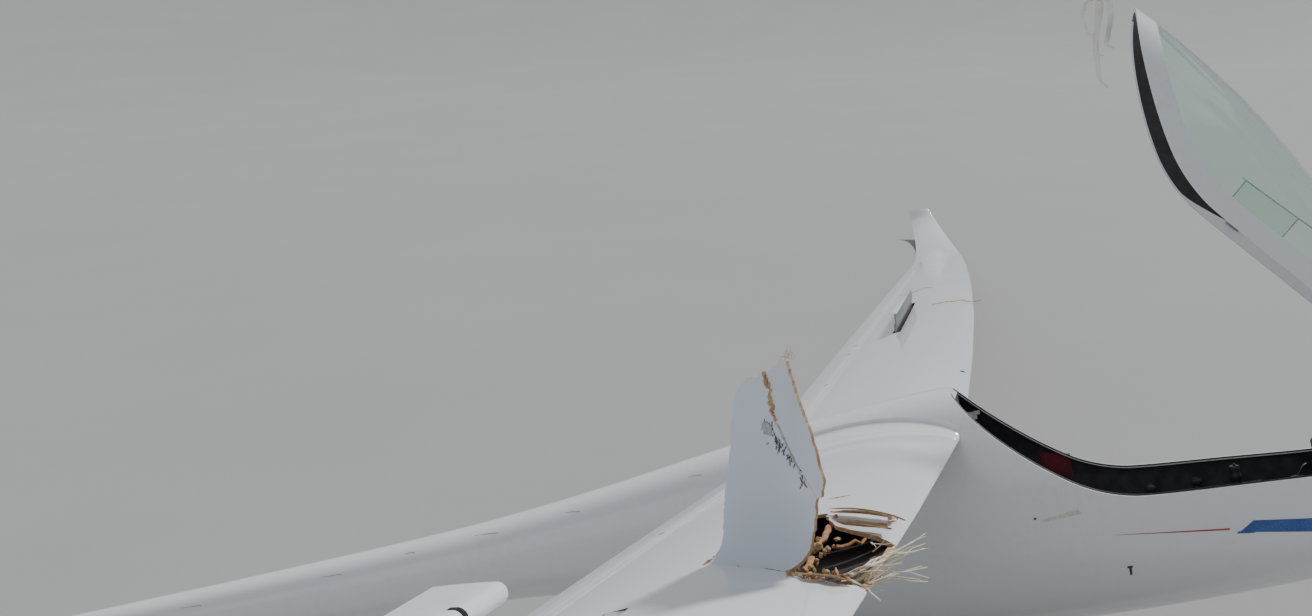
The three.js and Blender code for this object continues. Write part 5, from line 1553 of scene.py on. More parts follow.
@dataclass
class Tail:
    """The fin's, rudder's and tailplane's numbers and their pieces."""

    fin_foot: tuple = (10.0, 5916.0, 6540.0)
    fin_head: tuple = (1116.0, 6225.0, 6632.0)
    rudder_foot: tuple = (-66.0, 268.0)
    rudder_head: tuple = (1050.0, 178.0)
    rudder_hinges: tuple = (50, 540, 990)
    z: float = 1140.0
    half: float = 1190.0
    lead: float = 6238.0
    hinge: float = 6548.0
    chords: tuple = (430.0, 236.0)
    thick: float = 0.11
    hinges: tuple = (-1000, -380, 380, 1000)

    def fin_hinge(self, z: float) -> float:
        """Station of the rudder's hinge line at a height."""
        (z0, _, h0), (z1, _, h1) = self.fin_foot, self.fin_head
        return h0 + (h1 - h0) * (z - z0) / (z1 - z0)

    def rudder_radius(self, z: float) -> float:
        """Radius of the rudder's nose at a height."""
        return 31 - 8 * (z - self.rudder_foot[0]) / (self.rudder_head[0] - self.rudder_foot[0])

    def rudder_axis(self) -> Vector:
        """Direction of the rudder's hinge line."""
        return (at(self.fin_head[2], 0, self.fin_head[0]) - at(self.fin_foot[2], 0, self.fin_foot[0])).normalized()

    def radius(self, y: float) -> float:
        """Radius of the elevator's nose at a distance out."""
        share = (self.hinge - self.lead) / self.chords[0]
        return WING.half_thickness(share, self.thick) * self.chord(y)

    def chord(self, y: float) -> float:
        """The tailplane's chord at a distance out."""
        return self.chords[0] + (self.chords[1] - self.chords[0]) * abs(y) / self.half

    def build(self) -> None:
        """Builds the rudder, tailplane and elevator."""
        self.rudder()
        self.plane()
        self.elevator()

    def rudder(self) -> None:
        """The rudder."""
        rings = []
        (z0, c0), (z1, c1) = self.rudder_foot, self.rudder_head
        for i in range(19):
            z = z0 + (z1 - z0) * i / 18
            chord = c0 + (c1 - c0) * i / 18
            r, h = self.rudder_radius(z), self.fin_hinge(z)
            turns = [math.radians(90 + 180 * k / 18) for k in range(19)]
            nose = [at(h + r * math.cos(a), r * math.sin(a), z) for a in turns]
            rings.append([at(h + chord, 1.8, z), *nose, at(h + chord, -1.8, z)])
        thing = SHOP.loose(sheet_of(rings, True), "rudder_skin", Finish.GELCOAT)
        for z in self.rudder_hinges:
            notch(thing, self.rudder_radius(z), at(self.fin_hinge(z), 0, z), self.rudder_axis())
        SHOP.finish(thing, "rudder_body", 32.0, ("rudder",))

    def ring(self, y: float, front: bool) -> list[Vector]:
        """A section of the tailplane ahead of its hinge, or of the elevator."""
        chord = self.chord(y)
        share = (self.hinge - self.lead) / self.chords[0]
        lead = self.hinge - share * chord
        r = self.radius(y)
        if not front:
            nose = [at(self.hinge + r * math.cos(a), y, self.z + r * math.sin(a))
                    for a in (math.radians(90 + 180 * k / 14) for k in range(15))]
            return [at(lead + chord, y, self.z + 1.5), *nose, at(lead + chord, y, self.z - 1.5)]
        end = (share * chord - r - 6) / chord
        xs = [end * (1 - i / 27) ** 1.6 for i in range(28)][:-1]
        half = [WING.half_thickness(x, self.thick) * chord for x in xs]
        return [*[at(lead + x * chord, y, self.z + h) for x, h in zip(xs, half)], at(lead, y, self.z + 0.4),
                at(lead, y, self.z - 0.4),
                *[at(lead + x * chord, y, self.z - h) for x, h in reversed(list(zip(xs, half)))]]

    def plane(self) -> None:
        """The tailplane and its hinges."""
        rings = [self.ring(self.half * k / 12, True) for k in range(-12, 13)]
        SHOP.piece(sheet_of(rings, True), "tailplane_skin", Finish.GELCOAT, stands_for=("tailplane",))
        arms = [part for y in self.hinges for part in
                hinge_arm(self.radius(y) + 26, at(self.hinge, y, self.z), Vector((0, 1, 0)))]
        SHOP.piece(merged(arms), "elevator_hinges", Finish.METAL, angle=40)

    def elevator(self) -> None:
        """The elevator."""
        rings = [self.ring(self.half * k / 12, False) for k in range(-12, 13)]
        thing = SHOP.loose(sheet_of(rings, True), "elevator_skin", Finish.GELCOAT)
        for y in self.hinges:
            notch(thing, self.radius(y), at(self.hinge, y, self.z), Vector((0, 1, 0)))
        SHOP.finish(thing, "elevator_body", 32.0, ("elevator",))


TAIL = Tail()


# ---------------------------------------------------------------- canopy


@dataclass
class Canopy:
    """The open canopy: frame, clear sheet, hinge arm and the strips torn off its rear edge."""

    shell: float = 5.0
    frame_shell: float = 14.0
    band: float = 78.0
    gap: float = 6.0
    hinge: tuple = (60.0, 100.0)
    open: float = 45.0
    latch_place: tuple = (1180, 112)
    flange_start: float = 1430.0
    flange_run: float = 370.0
    flange_least: float = 0.07
    trim_start: tuple = (1986, -24, 492)
    trim: tuple = (((42, 0, 20), 0, 190, 13, 9), ((70, -10, 14), 1, 215, 11, 8), ((24, 4, 10), 2, 330, 15, 9),
                   ((60, -6, 26), 3, 130, 9, 6))  # way to the knot, place in the row, length, radius above, below

    def swing(self) -> Matrix:
        """The turn from closed to open."""
        st, z = self.hinge
        return (Matrix.Translation((-st, 0, z)) @ Matrix.Rotation(math.radians(self.open), 4, "Y")
                @ Matrix.Translation((st, 0, -z)))

    def ready(self, thing: bpy.types.Object, **more: object) -> None:
        """Opens a piece drawn closed and finishes it."""
        thing.data.transform(self.swing())
        SHOP.finish(thing, Body.CANOPY, **more)

    def build(self) -> None:
        """Builds the canopy's pieces."""
        outline = [*HULL.rim_line(self.gap), *reversed(HULL.rim_line(self.band))]
        band = self.shell_part(side_plate(outline, -520, 520), 0, self.frame_shell, Finish.GELCOAT, Finish.SEAL,
                               "canopy_frame_skin")
        self.ready(band, angle=35.0, stands_for=("canopy_frame",))
        glass = self.shell_part(HULL.over_rim(self.band + 0.3), 1.5, self.shell, Finish.PLEXI, Finish.PLEXI,
                                "canopy_glass_skin")
        self.ready(glass, angle=35.0, stands_for=("canopy_glass",))
        self.arm()
        self.window()
        self.latches()
        self.flange()
        self.strips()

    @staticmethod
    def shell_part(block: bmesh.types.BMesh, inset: float, thick: float, outer: Finish, inner: Finish,
                   name: str) -> bpy.types.Object:
        """The part of a shell of the hull's form that lies in a block."""
        thing = SHOP.loose(HULL.skin(186, 2070, inset, 30.0), name, outer)
        SHOP.cut(thing, SHOP.loose(block, "block", outer), "INTERSECT")
        return SHOP.cut(thing, SHOP.loose(HULL.skin(180, 2076, inset + thick, 32.0), "inner", inner))

    def arm(self) -> None:
        """The arm along the deck to the hinge, with its pin."""
        st, z = self.hinge
        outline = [(st - 8, z - 4), (st - 8, z + 4), (st - 4, z + 8), (st + 4, z + 9), (st + 70, z + 26),
                   (st + 155, z + 52), (st + 192, z + 59), (st + 192, z + 46), (st + 162, z + 41), (st + 140, z + 41),
                   (st + 70, z + 15), (st + 6, z - 6), (st - 4, z - 7)]
        arm = SHOP.loose(side_plate(outline, -12, 12), "canopy_arm", Finish.METAL)
        self.ready(arm, angle=30.0, bevel=1.0)
        pin = SHOP.loose(rod(at(st, -24, z), at(st, 24, z), 4, sides=24), "canopy_pin", Finish.METAL)
        self.ready(pin, angle=40.0)

    def on_side(self, side: Side, st: float, z: float, off: float) -> Vector:
        """A point over the closed canopy's side."""
        return at(st, side.value * (HULL.half_at(st, z) - 1.5 + off), z)

    def window(self) -> None:
        """The sliding window in the left side, with its rails."""
        rows = [[self.on_side(Side.LEFT, 1010 + 235 * i / 12, 172 + 98 * k / 6, 2.5) for k in range(7)]
                for i in range(13)]
        self.ready(SHOP.loose(film(rows, 2.0), "canopy_window", Finish.PLEXI), angle=40.0)
        rails = []
        for z in (170, 272):
            rails.append(strand([self.on_side(Side.LEFT, 860 + 400 * i / 16, z, 2.4) for i in range(17)], 3.4, 3.4, 8))
        for st in (1012, 1244):
            rails.append(strand([self.on_side(Side.LEFT, st, 170 + 102 * k / 8, 3.4) for k in range(9)], 2.4, 2.4, 8))
        self.ready(SHOP.loose(merged(rails), "canopy_window_rails", Finish.RAIL), angle=40.0)

    def latches(self) -> None:
        """Latch levers inside both sides of the frame."""
        for side in Side:
            st, z = self.latch_place
            y = side.value * (HULL.half_at(st, z) - self.frame_shell - 4)
            knob = y - side.value * 18
            parts = [box(at(st, y, z), (56, 8, 16)), rod(at(st + 16, y, z), at(st + 16, knob, z), 5, sides=20),
                     rod(at(st + 16, knob, z), at(st - 40, knob, z + 8), 4, 6, 20)]
            self.ready(SHOP.loose(merged(parts), f"{side.word}_canopy_latch", Finish.GREY), angle=35.0, bevel=1.0)

    def flange(self) -> None:
        """The pale flange on the frame's inner faces, a thin edge behind that widens ahead."""
        for side in Side:
            rows = []
            for (a, b), (c, d) in zip(HULL.rim_line(self.gap), HULL.rim_line(self.band)):
                share = min(1.0, max(self.flange_least, (self.flange_start - a) / self.flange_run))
                row = []
                for k in range(7):
                    u = 0.01 + share * 0.96 * k / 6
                    st, z = a + (c - a) * u, b + (d - b) * u
                    slope = math.hypot(1, (HULL.half_at(st, z + 2) - HULL.half_at(st, z - 2)) / 4,
                                       (HULL.half_at(st + 2, z) - HULL.half_at(st - 2, z)) / 4)
                    row.append((st, HULL.half_at(st, z) - (self.frame_shell + 0.7) * slope, z))
                if all(y > 60 for _, y, _ in row) and a > 330:
                    rows.append([at(st, side.value * y, z) for st, y, z in row])
            self.ready(SHOP.loose(film(rows, 1.0), f"{side.word}_canopy_flange", Finish.GELCOAT), angle=50.0)

    def strips(self) -> None:
        """Strips of trim torn off the rear of the frame, hanging straight down."""
        down = (ATTITUDE.turn.transposed() @ Vector((0, 0, -1))).normalized()
        start = self.swing() @ at(*self.trim_start)
        for k, (way, across, length, wide, narrow) in enumerate(self.trim):
            along = Vector(way)
            top = start + along * 0.4
            knee = start + along * -0.6 + Vector((-30 - 22 * across, 8 * across, 30))
            path = [top, top.lerp(knee, 0.5) + Vector((0, 0, 14)), knee]
            for i in range(1, 19):
                u = i / 18
                curl = 26 * max(0.0, u - 0.86) / 0.14
                sway = Vector((9 * math.sin(u * 5 + k) + curl, 7 * math.cos(u * 4 + 2 * k), 0.5 * curl))
                path.append(knee + down * length * u + sway)
            thing = SHOP.loose(strand(path, wide, narrow, 8, 0.09), f"torn_trim_{k + 1}", Finish.TRIM)
            strip = SHOP.finish(thing, Body.CANOPY, 50.0)
            long = sum((b - a).length for a, b in zip(path, path[1:])) * MM
            log.info("%s: %.3f m long, %d mm wide", strip.name, long, 2 * wide)


# ---------------------------------------------------------------- undercarriage


@dataclass
class Wheel:
    """A wheel: tyre, hub and their numbers."""

    name: str
    body: Body
    station: float
    axle: float
    radius: float
    tyre: float
    rim: float
    width: float
    bore: float
    grooves: tuple
    bolts: int

    def tyre_piece(self) -> None:
        """The tyre, with grooves and a rounded tread."""
        w, bead, r = self.tyre / 2, self.rim + 4, self.radius
        side = []
        for k in range(15):
            a = math.radians(-58 + 118 * k / 14)
            side.append((bead + 4 + (r - bead - 4) * (0.5 + 0.5 * math.sin(a)), w * (0.42 + 0.58 * math.cos(a) ** 0.6)))
        side = [(bead, w * 0.52), *[p for p in side if p[0] > bead + 6]]
        tread = []
        for y in sorted(self.grooves, reverse=True):
            tread += [(r, y + 3), (r - 3, y + 1.5), (r - 3, y - 1.5), (r, y - 3)]
        left = [(radius, out) for radius, out in side if out > max((abs(g) + 4 for g in self.grooves), default=4)]
        profile = [*left, *tread, *[(radius, -out) for radius, out in reversed(left)]]
        bm = turned(profile, self.station, self.axle, steps=96)
        SHOP.piece(bm, f"{self.name}_tyre_rubber", Finish.RUBBER, self.body, angle=38,
                   stands_for=(f"{self.name}_tyre",))

    def hub_piece(self) -> None:
        """The hub with its bolts and valve."""
        w, rim = self.width / 2, self.rim
        half = [(self.bore, w), (rim * 0.42, w), (rim * 0.45, w * 0.8), (rim * 0.5, w * 0.55), (rim * 0.86, w * 0.6),
                (rim * 0.92, w), (rim + 3.4, w)]
        profile = [*half, *[(radius, -out) for radius, out in reversed(half)]]
        parts = [turned(profile, self.station, self.axle)]
        for side in (1, -1):
            for k in range(self.bolts):
                a = k / self.bolts * math.tau
                place = at(self.station + rim * 0.68 * math.cos(a), side * w * 0.55,
                           self.axle + rim * 0.68 * math.sin(a))
                parts.append(rod(place, place + Vector((0, side * w * 0.16, 0)), rim * 0.06, sides=6))
        parts.append(rod(at(self.station, w * 0.5, self.axle + rim * 0.88),
                         at(self.station, w * 0.95, self.axle + rim * 0.78), rim * 0.035, sides=10))
        SHOP.piece(merged(parts), f"{self.name}_hub_metal", Finish.METAL, self.body, angle=30,
                   stands_for=(f"{self.name}_hub",))


@dataclass
class Gear:
    """Wheels, fork, doors, tow hook and probe."""

    def build(self) -> None:
        """Builds them all."""
        for wheel in (Wheel("main", Body.MAIN_WHEEL, 2040, -446, 180, 124, 74, 92, 15.3, (-12, 0, 12), 8),
                      Wheel("tail", Body.TAIL_WHEEL, 6270, -62, 86, 46, 38, 34, 9.3, (0,), 5)):
            wheel.tyre_piece()
            wheel.hub_piece()
        self.fork()
        SHOP.smooth_copy("tail_axle", Finish.METAL, angle=40)
        for side in Side:
            SHOP.smooth_copy(f"{side.word}_gear_door", Finish.GELCOAT, angle=50, bevel=0.8)
        SHOP.smooth_copy("tow_hook", Finish.METAL, angle=30, bevel=2.0)
        lead = TAIL.fin_foot[1] + (TAIL.fin_head[1] - TAIL.fin_foot[1]) * (673 - TAIL.fin_foot[0]) / (
            TAIL.fin_head[0] - TAIL.fin_foot[0])
        parts = [rod(at(lead, 0, 680), at(5760, 0, 696.4), 7, 5.4, 24),
                 rod(at(5760, 0, 696.4), at(5700, 0, 700), 5.4, 4.2, 24)]
        SHOP.piece(merged(parts), "probe_tube", Finish.METAL, angle=40, stands_for=("probe",))

    @staticmethod
    def fork() -> None:
        """The main wheel's legs, axle and cross beam."""
        st, axle, reach = 2040, -446, 82.0
        parts = []
        for side in (1, -1):
            parts += [rod(at(st, side * 46.3, axle), at(st, side * (reach - 4), axle), 23, sides=36),
                      rod(at(st, side * reach, axle), at(st - 70, side * reach, -213.3), 13, sides=24),
                      rod(at(st, side * reach, axle), at(st + 150, side * reach, -213.3), 10, sides=24),
                      rod(at(st, side * (reach + 12), axle), at(st, side * (reach + 19), axle), 20, sides=6)]
        parts.append(rod(at(st, -reach - 16, axle), at(st, reach + 16, axle), 15, sides=36))
        parts.append(box(at(st + 40, 0, -214.3), (260, 2 * reach + 20, 18)))
        SHOP.piece(merged(parts), "main_fork_metal", Finish.GREY, angle=30, bevel=0.8,
                   stands_for=("main_fork",))


# ---------------------------------------------------------------- cockpit


@dataclass
class Cushion:
    """A padded piece: its name, the CAD solids it stands for and its outline from the side."""

    name: str
    outline: tuple
    half: float
    cap: float
    stands_for: tuple = ()
    voxel: float = 6.0
    shrink: float = 5.0

    def build(self) -> None:
        """Blows the plain form up, caps the swelling and finishes it."""
        bm = side_plate(self.outline, -self.half, self.half)
        bmesh.ops.bevel(bm, geom=bm.edges[:], offset=self.shrink, segments=2, profile=0.5, affect="EDGES", material=-1)
        thing = SHOP.loose(bm, self.name, Finish.CLOTH)
        mesh = thing.data
        mesh.transform(ATTITUDE.matrix)
        remesh = thing.modifiers.new("remesh", "REMESH")
        remesh.mode = "VOXEL"
        remesh.voxel_size = self.voxel * MM
        self.settle(thing)
        still = [v.co.copy() for v in thing.data.vertices]
        scene = bpy.context.scene
        cloth = thing.modifiers.new("cloth", "CLOTH")
        cloth.settings.use_pressure = True
        cloth.settings.uniform_pressure_force = 4.0
        cloth.settings.quality = 4
        cloth.settings.mass = 0.3
        cloth.settings.tension_stiffness = 12
        cloth.settings.compression_stiffness = 12
        cloth.settings.shear_stiffness = 6
        cloth.settings.bending_stiffness = 0.6
        cloth.settings.effector_weights.gravity = 0
        cloth.point_cache.frame_start, cloth.point_cache.frame_end = 1, 20
        for number in range(1, 21):
            scene.frame_set(number)
        self.settle(thing)
        scene.frame_set(1)
        for vert, start in zip(thing.data.vertices, still):
            move = vert.co - start
            if move.length > self.cap * MM:
                vert.co = start + move.normalized() * self.cap * MM
        bm = bmesh.new()
        bm.from_mesh(thing.data)
        bmesh.ops.smooth_vert(bm, verts=bm.verts[:], factor=0.5, use_axis_x=True, use_axis_y=True, use_axis_z=True)
        bm.to_mesh(thing.data)
        bm.free()
        finer = thing.modifiers.new("finer", "SUBSURF")
        finer.levels = finer.render_levels = 1
        self.settle(thing)
        SHOP.finish(thing, Body.AIRFRAME, 80.0, self.stands_for, placed=True)

    @staticmethod
    def settle(thing: bpy.types.Object) -> None:
        """Applies an object's modifiers."""
        graph = bpy.context.evaluated_depsgraph_get()
        result = bpy.data.meshes.new_from_object(thing.evaluated_get(graph), depsgraph=graph)
        thing.modifiers.clear()
        old, thing.data = thing.data, result
        bpy.data.meshes.remove(old)


@dataclass
class Cockpit:
    """The tub's furniture, controls, harness and trim."""

    bulk: tuple = (1925.0, 330.0, 1390.0, -372.0)

    def on_bulkhead(self, z: float, ahead: float) -> tuple[float, float]:
        """A station and height by the height on the sloping bulkhead and the distance ahead of it."""
        top, high, foot, low = self.bulk
        rise, run = high - low, top - foot
        length = math.hypot(rise, run)
        return foot + (z - low) * run / rise - ahead * rise / length, z + ahead * run / length

    def build(self) -> None:
        """Builds everything in the cockpit."""
        self.pan()
        on = self.on_bulkhead
        Cushion("back_cushion", (on(-214, 6), on(166, 6), on(160, 32), on(60, 42), on(-120, 28), on(-226, 22)), 172, 10,
                ("seat_back",)).build()
        Cushion("head_cushion", (on(184, 6), on(286, 6), on(276, 34), on(186, 40)), 92, 9, ("headrest",)).build()
        Cushion("seat_cushion", ((905, -298), (1120, -298), (1300, -275), (1372, -262), (1366, -242), (1290, -252),
                                 (1120, -274), (925, -276)), 138, 9).build()
        self.side_pad()
        self.harness()
        self.panel()
        self.controls()
        self.sill()
        self.latch()

    def pan(self) -> None:
        """The seat pan, with its edges rounded."""
        SHOP.smooth_copy("seat_pan", Finish.CARBON, angle=30, bevel=1.5)

    def side_pad(self) -> None:
        """A red cloth pad on the left wall behind the shoulder."""
        rows = []
        for i in range(15):
            u = i / 14
            row = []
            for k in range(11):
                v = k / 10
                st = 1556 + 112 * u
                z = 62 + 88 * v + 22 * u
                puff = 14 * math.sin(math.pi * u) ** 0.5 * math.sin(math.pi * v) ** 0.5
                row.append(at(st, HULL.half_at(st, z) - 13 - puff, z))
            rows.append(row)
        pad = SHOP.piece(film(rows, 1.5), "shoulder_pad", Finish.CLOTH, angle=60)

    @staticmethod
    def strap(path: Sequence[Vector], width: float, across: Vector) -> bmesh.types.BMesh:
        """A flat strap along a path.

        Args:
            path: its middle line.
            width: its width.
            across: the direction of its width.

        Returns:
            The closed strap.
        """
        return film([[point + across * width * (k / 6 - 0.5) for k in range(7)] for point in curved(path, 6)], 1.8)

    def harness(self) -> None:
        """Shoulder, lap and crotch straps with their buckle."""
        on = self.on_bulkhead
        sideways = Vector((0, 1, 0))
        parts = []
        for side in (1, -1):
            path = [at(*shift(on(212, 4), side * 128)), at(*shift(on(186, 22), side * 118)),
                    at(*shift(on(150, 56), side * 104)), at(*shift(on(60, 66), side * 88)),
                    at(*shift(on(-60, 58), side * 60)), at(*shift(on(-150, 56), side * 34)), at(1372, side * 16, -196)]
            parts.append(self.strap(path, 46, sideways))
            path = [at(1398, side * 186, -232), at(1396, side * 172, -222), at(1384, side * 136, -212),
                    at(1372, side * 80, -208), at(1366, side * 24, -204)]
            parts.append(self.strap(path, 46, Vector((0.86, 0, 0.5))))
        path = [at(1180, 0, -262), at(1230, 0, -252), at(1290, 0, -234), at(1350, 0, -208)]
        parts.append(self.strap(path, 42, sideways))
        SHOP.piece(merged(parts), "harness_straps", Finish.BELT, angle=50)
        centre = at(1366, 0, -196)
        up = Vector((0.55, 0, 0.83)).normalized()
        parts = [rod(centre - up * 8, centre + up * 10, 34, 31, 40),
                 rod(centre + up * 10, centre + up * 16, 20, 18, 40)]
        for k in range(5):
            a = k / 5 * math.tau
            out = Vector((math.cos(a) * 0.83, math.sin(a), -math.cos(a) * 0.55))
            parts.append(rod(centre + out * 28, centre + out * 48, 9, 8, 12))
        SHOP.piece(merged(parts), "harness_buckle", Finish.METAL, angle=30, bevel=0.8)
        for side in (1, -1):
            parts = [box(at(1398, side * 191, -238), (34, 6, 36)),
                     rod(at(1398, side * 184, -232), at(1398, side * 196, -232), 9, sides=20)]
            word = "left" if side > 0 else "right"
            SHOP.piece(merged(parts), f"{word}_belt_anchor", Finish.METAL, angle=30, bevel=0.8)

    def panel(self) -> None:
        """The instrument pedestal with its dials, switches and cover."""
        outline = ((520, -60), (530, 70), (560, 84), (600, 98), (640, 107), (668, 110), (682, 106), (690, 96),
                   (680, -46), (670, -60))
        pod = SHOP.loose(side_plate(outline, -148, 148), "pedestal", Finish.LINER)
        foot = SHOP.loose(side_plate(((560, -50), (575, -342), (650, -342), (672, -50)), -42, 42), "foot", Finish.LINER)
        SHOP.cut(pod, foot, "UNION")
        SHOP.finish(pod, Body.AIRFRAME, 30.0, ("instrument_panel",), bevel=4.0)
        lean = 0.0704
        normal = Vector((-1, 0, -lean))
        normal.normalize()

        def face(y: float, z: float, ahead: float = 0.0) -> Vector:
            """A point just off the panel's leaning face."""
            return at(685.2 + (z - 30) * lean, y, z) + normal * (0.6 + ahead)

        dials = ((-96, 52, 36), (-12, 54, 36), (76, 52, 38), (-100, -22, 26), (-38, -24, 26), (36, -20, 34),
                 (104, -24, 22))
        rims, glass, marks = [], [], []
        for y, z, r in dials:
            rims.append(turned_on(face(y, z), normal, ((r - 4, 0), (r, 0), (r, 4), (r - 1.5, 6), (r - 4, 4))))
            glass.append(rod(face(y, z, -0.6), face(y, z, 2.0), r - 3.6, sides=48))
            across, up = Vector((0, 1, 0)), normal.cross(Vector((0, 1, 0))).normalized()
            for k in range(24):
                a = math.radians(-140 + 280 * k / 23)
                way = across * math.sin(a) + up * math.cos(a)
                near = (r - 13) if k % 4 == 0 else (r - 10)
                marks.append(rod(face(y, z, 2.4) + way * near, face(y, z, 2.4) + way * (r - 7), 0.7, sides=6))
            way = across * math.sin(y) + up * math.cos(y)
            marks.append(rod(face(y, z, 3.2) - way * r * 0.2, face(y, z, 3.2) + way * (r - 11), 1.3, 0.5, 8))
        SHOP.piece(merged(rims), "dial_rims", Finish.GREY, angle=30)
        SHOP.piece(merged(glass), "dial_faces", Finish.DIAL, angle=30)
        SHOP.piece(merged(marks), "dial_marks", Finish.MARKS, angle=30)
        knobs = []
        for y, z in ((-132, 12), (128, 20), (-68, 12)):
            knobs.append(rod(face(y, z, -1), face(y, z, 11), 7, 6, 24))
        SHOP.piece(merged(knobs), "panel_knobs", Finish.SEAL, angle=30, bevel=0.6)

    def controls(self) -> None:
        """Stick, pedals, side rail with its levers, and the bright lever on the left."""
        boot = []
        for k in range(13):
            u = k / 12
            radius = 42 - 26 * u + 3.2 * math.sin(u * 30)
            boot.append([at(960 + 6 * u + radius * math.cos(a), radius * math.sin(a), -305.5 + 58 * u)
                         for a in (i / 32 * math.tau for i in range(32))])
        SHOP.piece(sheet_of(boot, True), "stick_boot", Finish.LINER, angle=60)
        parts = [rod(at(964, 0, -252), at(985, 0, -34), 11.5, sides=32)]
        grip = []
        for k in range(17):
            u = k / 16
            radius = 15 + 3.5 * math.sin(u * math.pi) + 1.4 * math.sin(u * 22)
            grip.append([at(985 + 8 * u + radius * 1.1 * math.cos(a), radius * math.sin(a), -36 + 110 * u)
                         for a in (i / 32 * math.tau for i in range(32))])
        SHOP.piece(merged([*parts, sheet_of(grip, True)]), "stick_and_grip", Finish.SEAL, angle=40,
                   stands_for=("control_stick",))
        button = rod(at(991, 0, 70), at(992, 0, 80), 6, 5, 20)
        SHOP.piece(button, "stick_button", Finish.LINER, angle=30)
        SHOP.smooth_copy("rudder_pedals", Finish.GREY, angle=30, bevel=1.0)
        SHOP.smooth_copy("lever_rail", Finish.GREY, angle=30, bevel=1.5)
        for st, name in ((960, "trim_knob"), (1110, "brake_knob"), (1280, "flap_knob")):
            bm = bmesh.new()
            bmesh.ops.create_uvsphere(bm, u_segments=28, v_segments=16, radius=17)
            for vert in bm.verts:
                vert.co = Vector((vert.co.x * 1.25, vert.co.y * 0.9, vert.co.z * 0.85)) + at(st, 206, -11)
            SHOP.piece(bm, name, Finish.LINER, angle=60)
        parts = [rod(at(735, 231, -44), at(712, 222, -6), 3.4, 3.0, 20),
                 rod(at(716, 223, -12), at(700, 214, 0), 6.5, 5, 20), box(at(738, 233, -50), (46, 8, 12))]
        SHOP.piece(merged(parts), "silver_lever", Finish.BRIGHT, angle=35, bevel=0.6)

    def sill(self) -> None:
        """A narrow flange along the rim, with the seal that the canopy shuts on."""
        line = [(st, z) for st, z in HULL.rim_line(-1.2, 8) if z < HULL.section(st).top - 16]
        for side in Side:
            rows = []
            for st, z in line:
                out = HULL.half_at(st, z)
                rows.append([at(st, side.value * (out - 11.5 - 20 * k / 4), z - 1.0 - 1.2 * k / 4) for k in range(5)])
            bm = film(rows, 2.5, Vector((0, 0, 1)))
            SHOP.piece(bm, f"{side.word}_sill_flange", Finish.GELCOAT, angle=50)
            path = [at(st, side.value * (HULL.half_at(st, z) - 26), z + 1.4) for st, z in line]
            SHOP.piece(strand(path, 3.0, 3.0, 8), f"{side.word}_sill_seal", Finish.SEAL, angle=60)

    @staticmethod
    def latch() -> None:
        """The white catch on the rear of the left sill."""
        parts = [box(at(1893, 196, 352), (40, 22, 30)), box(at(1874, 190, 362), (26, 14, 16)),
                 rod(at(1898, 184, 352), at(1898, 208, 352), 9, sides=24)]
        SHOP.piece(merged(parts), "sill_catch", Finish.GELCOAT, angle=30, bevel=3.0)


def shift(place: tuple[float, float], y: float) -> tuple[float, float, float]:
    """A station and height with a distance out between them."""
    return place[0], y, place[1]


def turned_on(centre: Vector, axis: Vector, profile: Sequence[tuple], steps: int = 48) -> bmesh.types.BMesh:
    """A closed profile of radius and distance along an axis, spun about it."""
    bm = bmesh.new()
    verts = [bm.verts.new(Vector((radius, 0, along))) for radius, along in profile]
    edges = [bm.edges.new((a, b)) for a, b in zip(verts, verts[1:] + verts[:1])]
    bmesh.ops.spin(bm, geom=verts + edges, cent=(0, 0, 0), axis=(0, 0, 1), angle=math.tau, steps=steps)
    bmesh.ops.remove_doubles(bm, verts=bm.verts[:], dist=0.01)
    bmesh.ops.recalc_face_normals(bm, faces=bm.faces[:])
    turn = Vector((0, 0, 1)).rotation_difference(axis).to_matrix().to_4x4()
    bmesh.ops.transform(bm, matrix=Matrix.Translation(centre) @ turn, verts=bm.verts[:])
    return bm


# ---------------------------------------------------------------- floor, light and camera


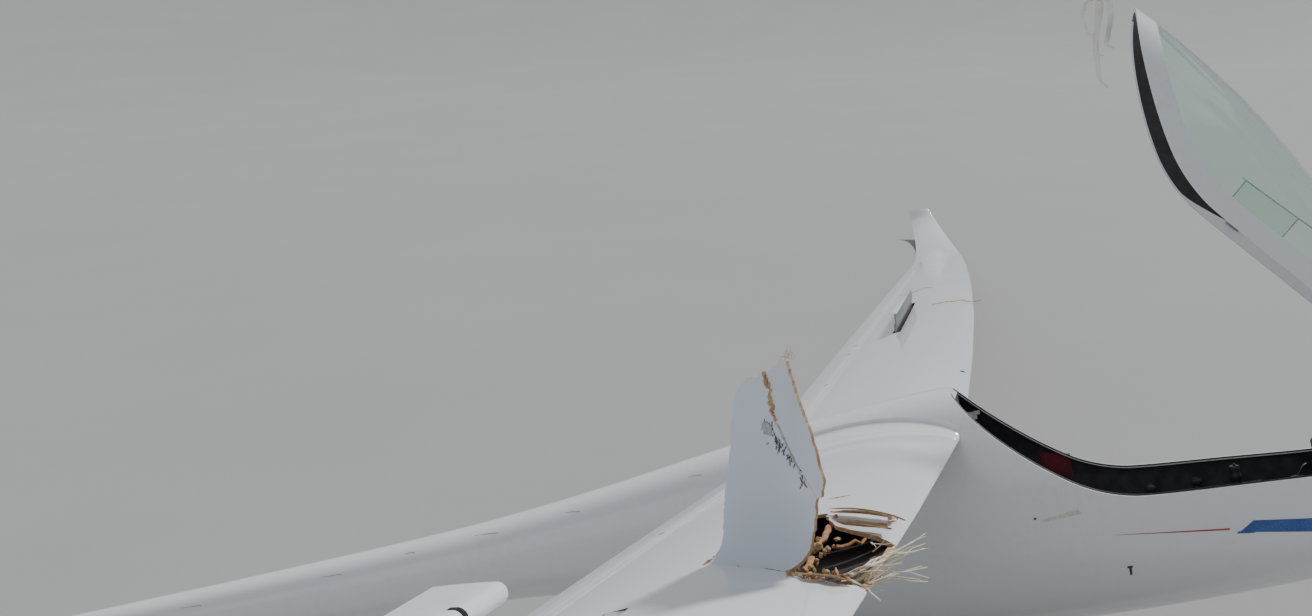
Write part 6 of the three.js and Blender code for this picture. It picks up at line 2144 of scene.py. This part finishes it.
@dataclass
class Studio:
    """The pale floor, the soft light and the camera at the photograph's angle."""

    pixels: float = 1312.0
    focal: float = 1360.5
    centre: tuple = (1000.5, 266.7)
    height: float = 616.0
    eye: tuple = (1581.3, -4767.7, 1092.7)
    ahead: tuple = (-0.02556, 0.99874, -0.04318)
    above: tuple = (0.14487, 0.04644, 0.98836)
    sensor: float = 36.0
    floor_half: float = 120.0
    flat_to: float = 34.0
    ease: float = 20.0
    slope: float = 0.25
    sky: float = 0.42
    suns: tuple = (("key", (0.42, 0.66, 0.74), 9.0, 3.4), ("fill", (-0.3, -0.8, 0.6), 50.0, 0.3))

    def build(self) -> None:
        """Builds all three."""
        self.floor()
        self.light()
        self.camera()

    def camera(self) -> None:
        """The camera, placed by its distance from the airframe."""
        data = bpy.data.cameras.new("camera")
        data.sensor_width = self.sensor
        data.lens = self.sensor * self.focal / self.pixels
        data.shift_x = -(self.centre[0] - self.pixels / 2) / self.pixels
        data.shift_y = -(self.height / 2 - self.centre[1]) / self.pixels
        data.clip_end = 3000
        ahead = ATTITUDE.direction(*self.ahead).normalized()
        above = ATTITUDE.direction(*self.above)
        right = ahead.cross(above).normalized()
        above = right.cross(ahead)
        eye = linked("camera", data)
        turn = Matrix((right, above, -ahead)).transposed().to_4x4()
        eye.matrix_world = Matrix.Translation(ATTITUDE.place(*self.eye)) @ turn
        bpy.context.scene.camera = eye

    def floor(self) -> None:
        """A pale matt floor that curves up far behind."""
        bm = bmesh.new()
        bmesh.ops.create_grid(bm, x_segments=160, y_segments=160, size=self.floor_half)
        for vert in bm.verts:
            beyond = max(0.0, vert.co.length - self.flat_to)
            curve = beyond * beyond * self.slope / (2 * self.ease)
            vert.co.z = curve if beyond < self.ease else (beyond - self.ease / 2) * self.slope
        for face in bm.faces:
            face.smooth = True
        mesh = bpy.data.meshes.new("floor")
        bm.to_mesh(mesh)
        bm.free()
        mesh.materials.append(Plain("pale_floor", (0.35, 0.345, 0.335), (0.365, 0.36, 0.35), (0.85, 0.95), 40.0, 0.02,
                                    0.0, 0.4).make())
        floor = linked("floor", mesh)
        floor.location.z = -0.0005

    def light(self) -> None:
        """A pale sky, a wide soft key from behind and a weak fill."""
        world = bpy.data.worlds.new("sky")
        world.use_nodes = True
        back = world.node_tree.nodes["Background"]
        back.inputs["Color"].default_value = (0.82, 0.88, 0.97, 1.0)
        back.inputs["Strength"].default_value = self.sky
        bpy.context.scene.world = world
        for name, way, spread, power in self.suns:
            data = bpy.data.lights.new(name, "SUN")
            data.angle = math.radians(spread)
            data.energy = power
            lamp = linked(name, data)
            lamp.rotation_euler = Vector(way).to_track_quat("Z", "Y").to_euler()


def main() -> None:
    """Builds the studio and every sub-assembly."""
    logging.basicConfig(level=logging.INFO, format="%(message)s")
    for part in (Studio(), Fuselage(), Wings(), TAIL, Canopy(), Gear(), Cockpit()):
        part.build()
    log.info("%d pieces", SHOP.count)


if __name__ == "__main__":
    main()
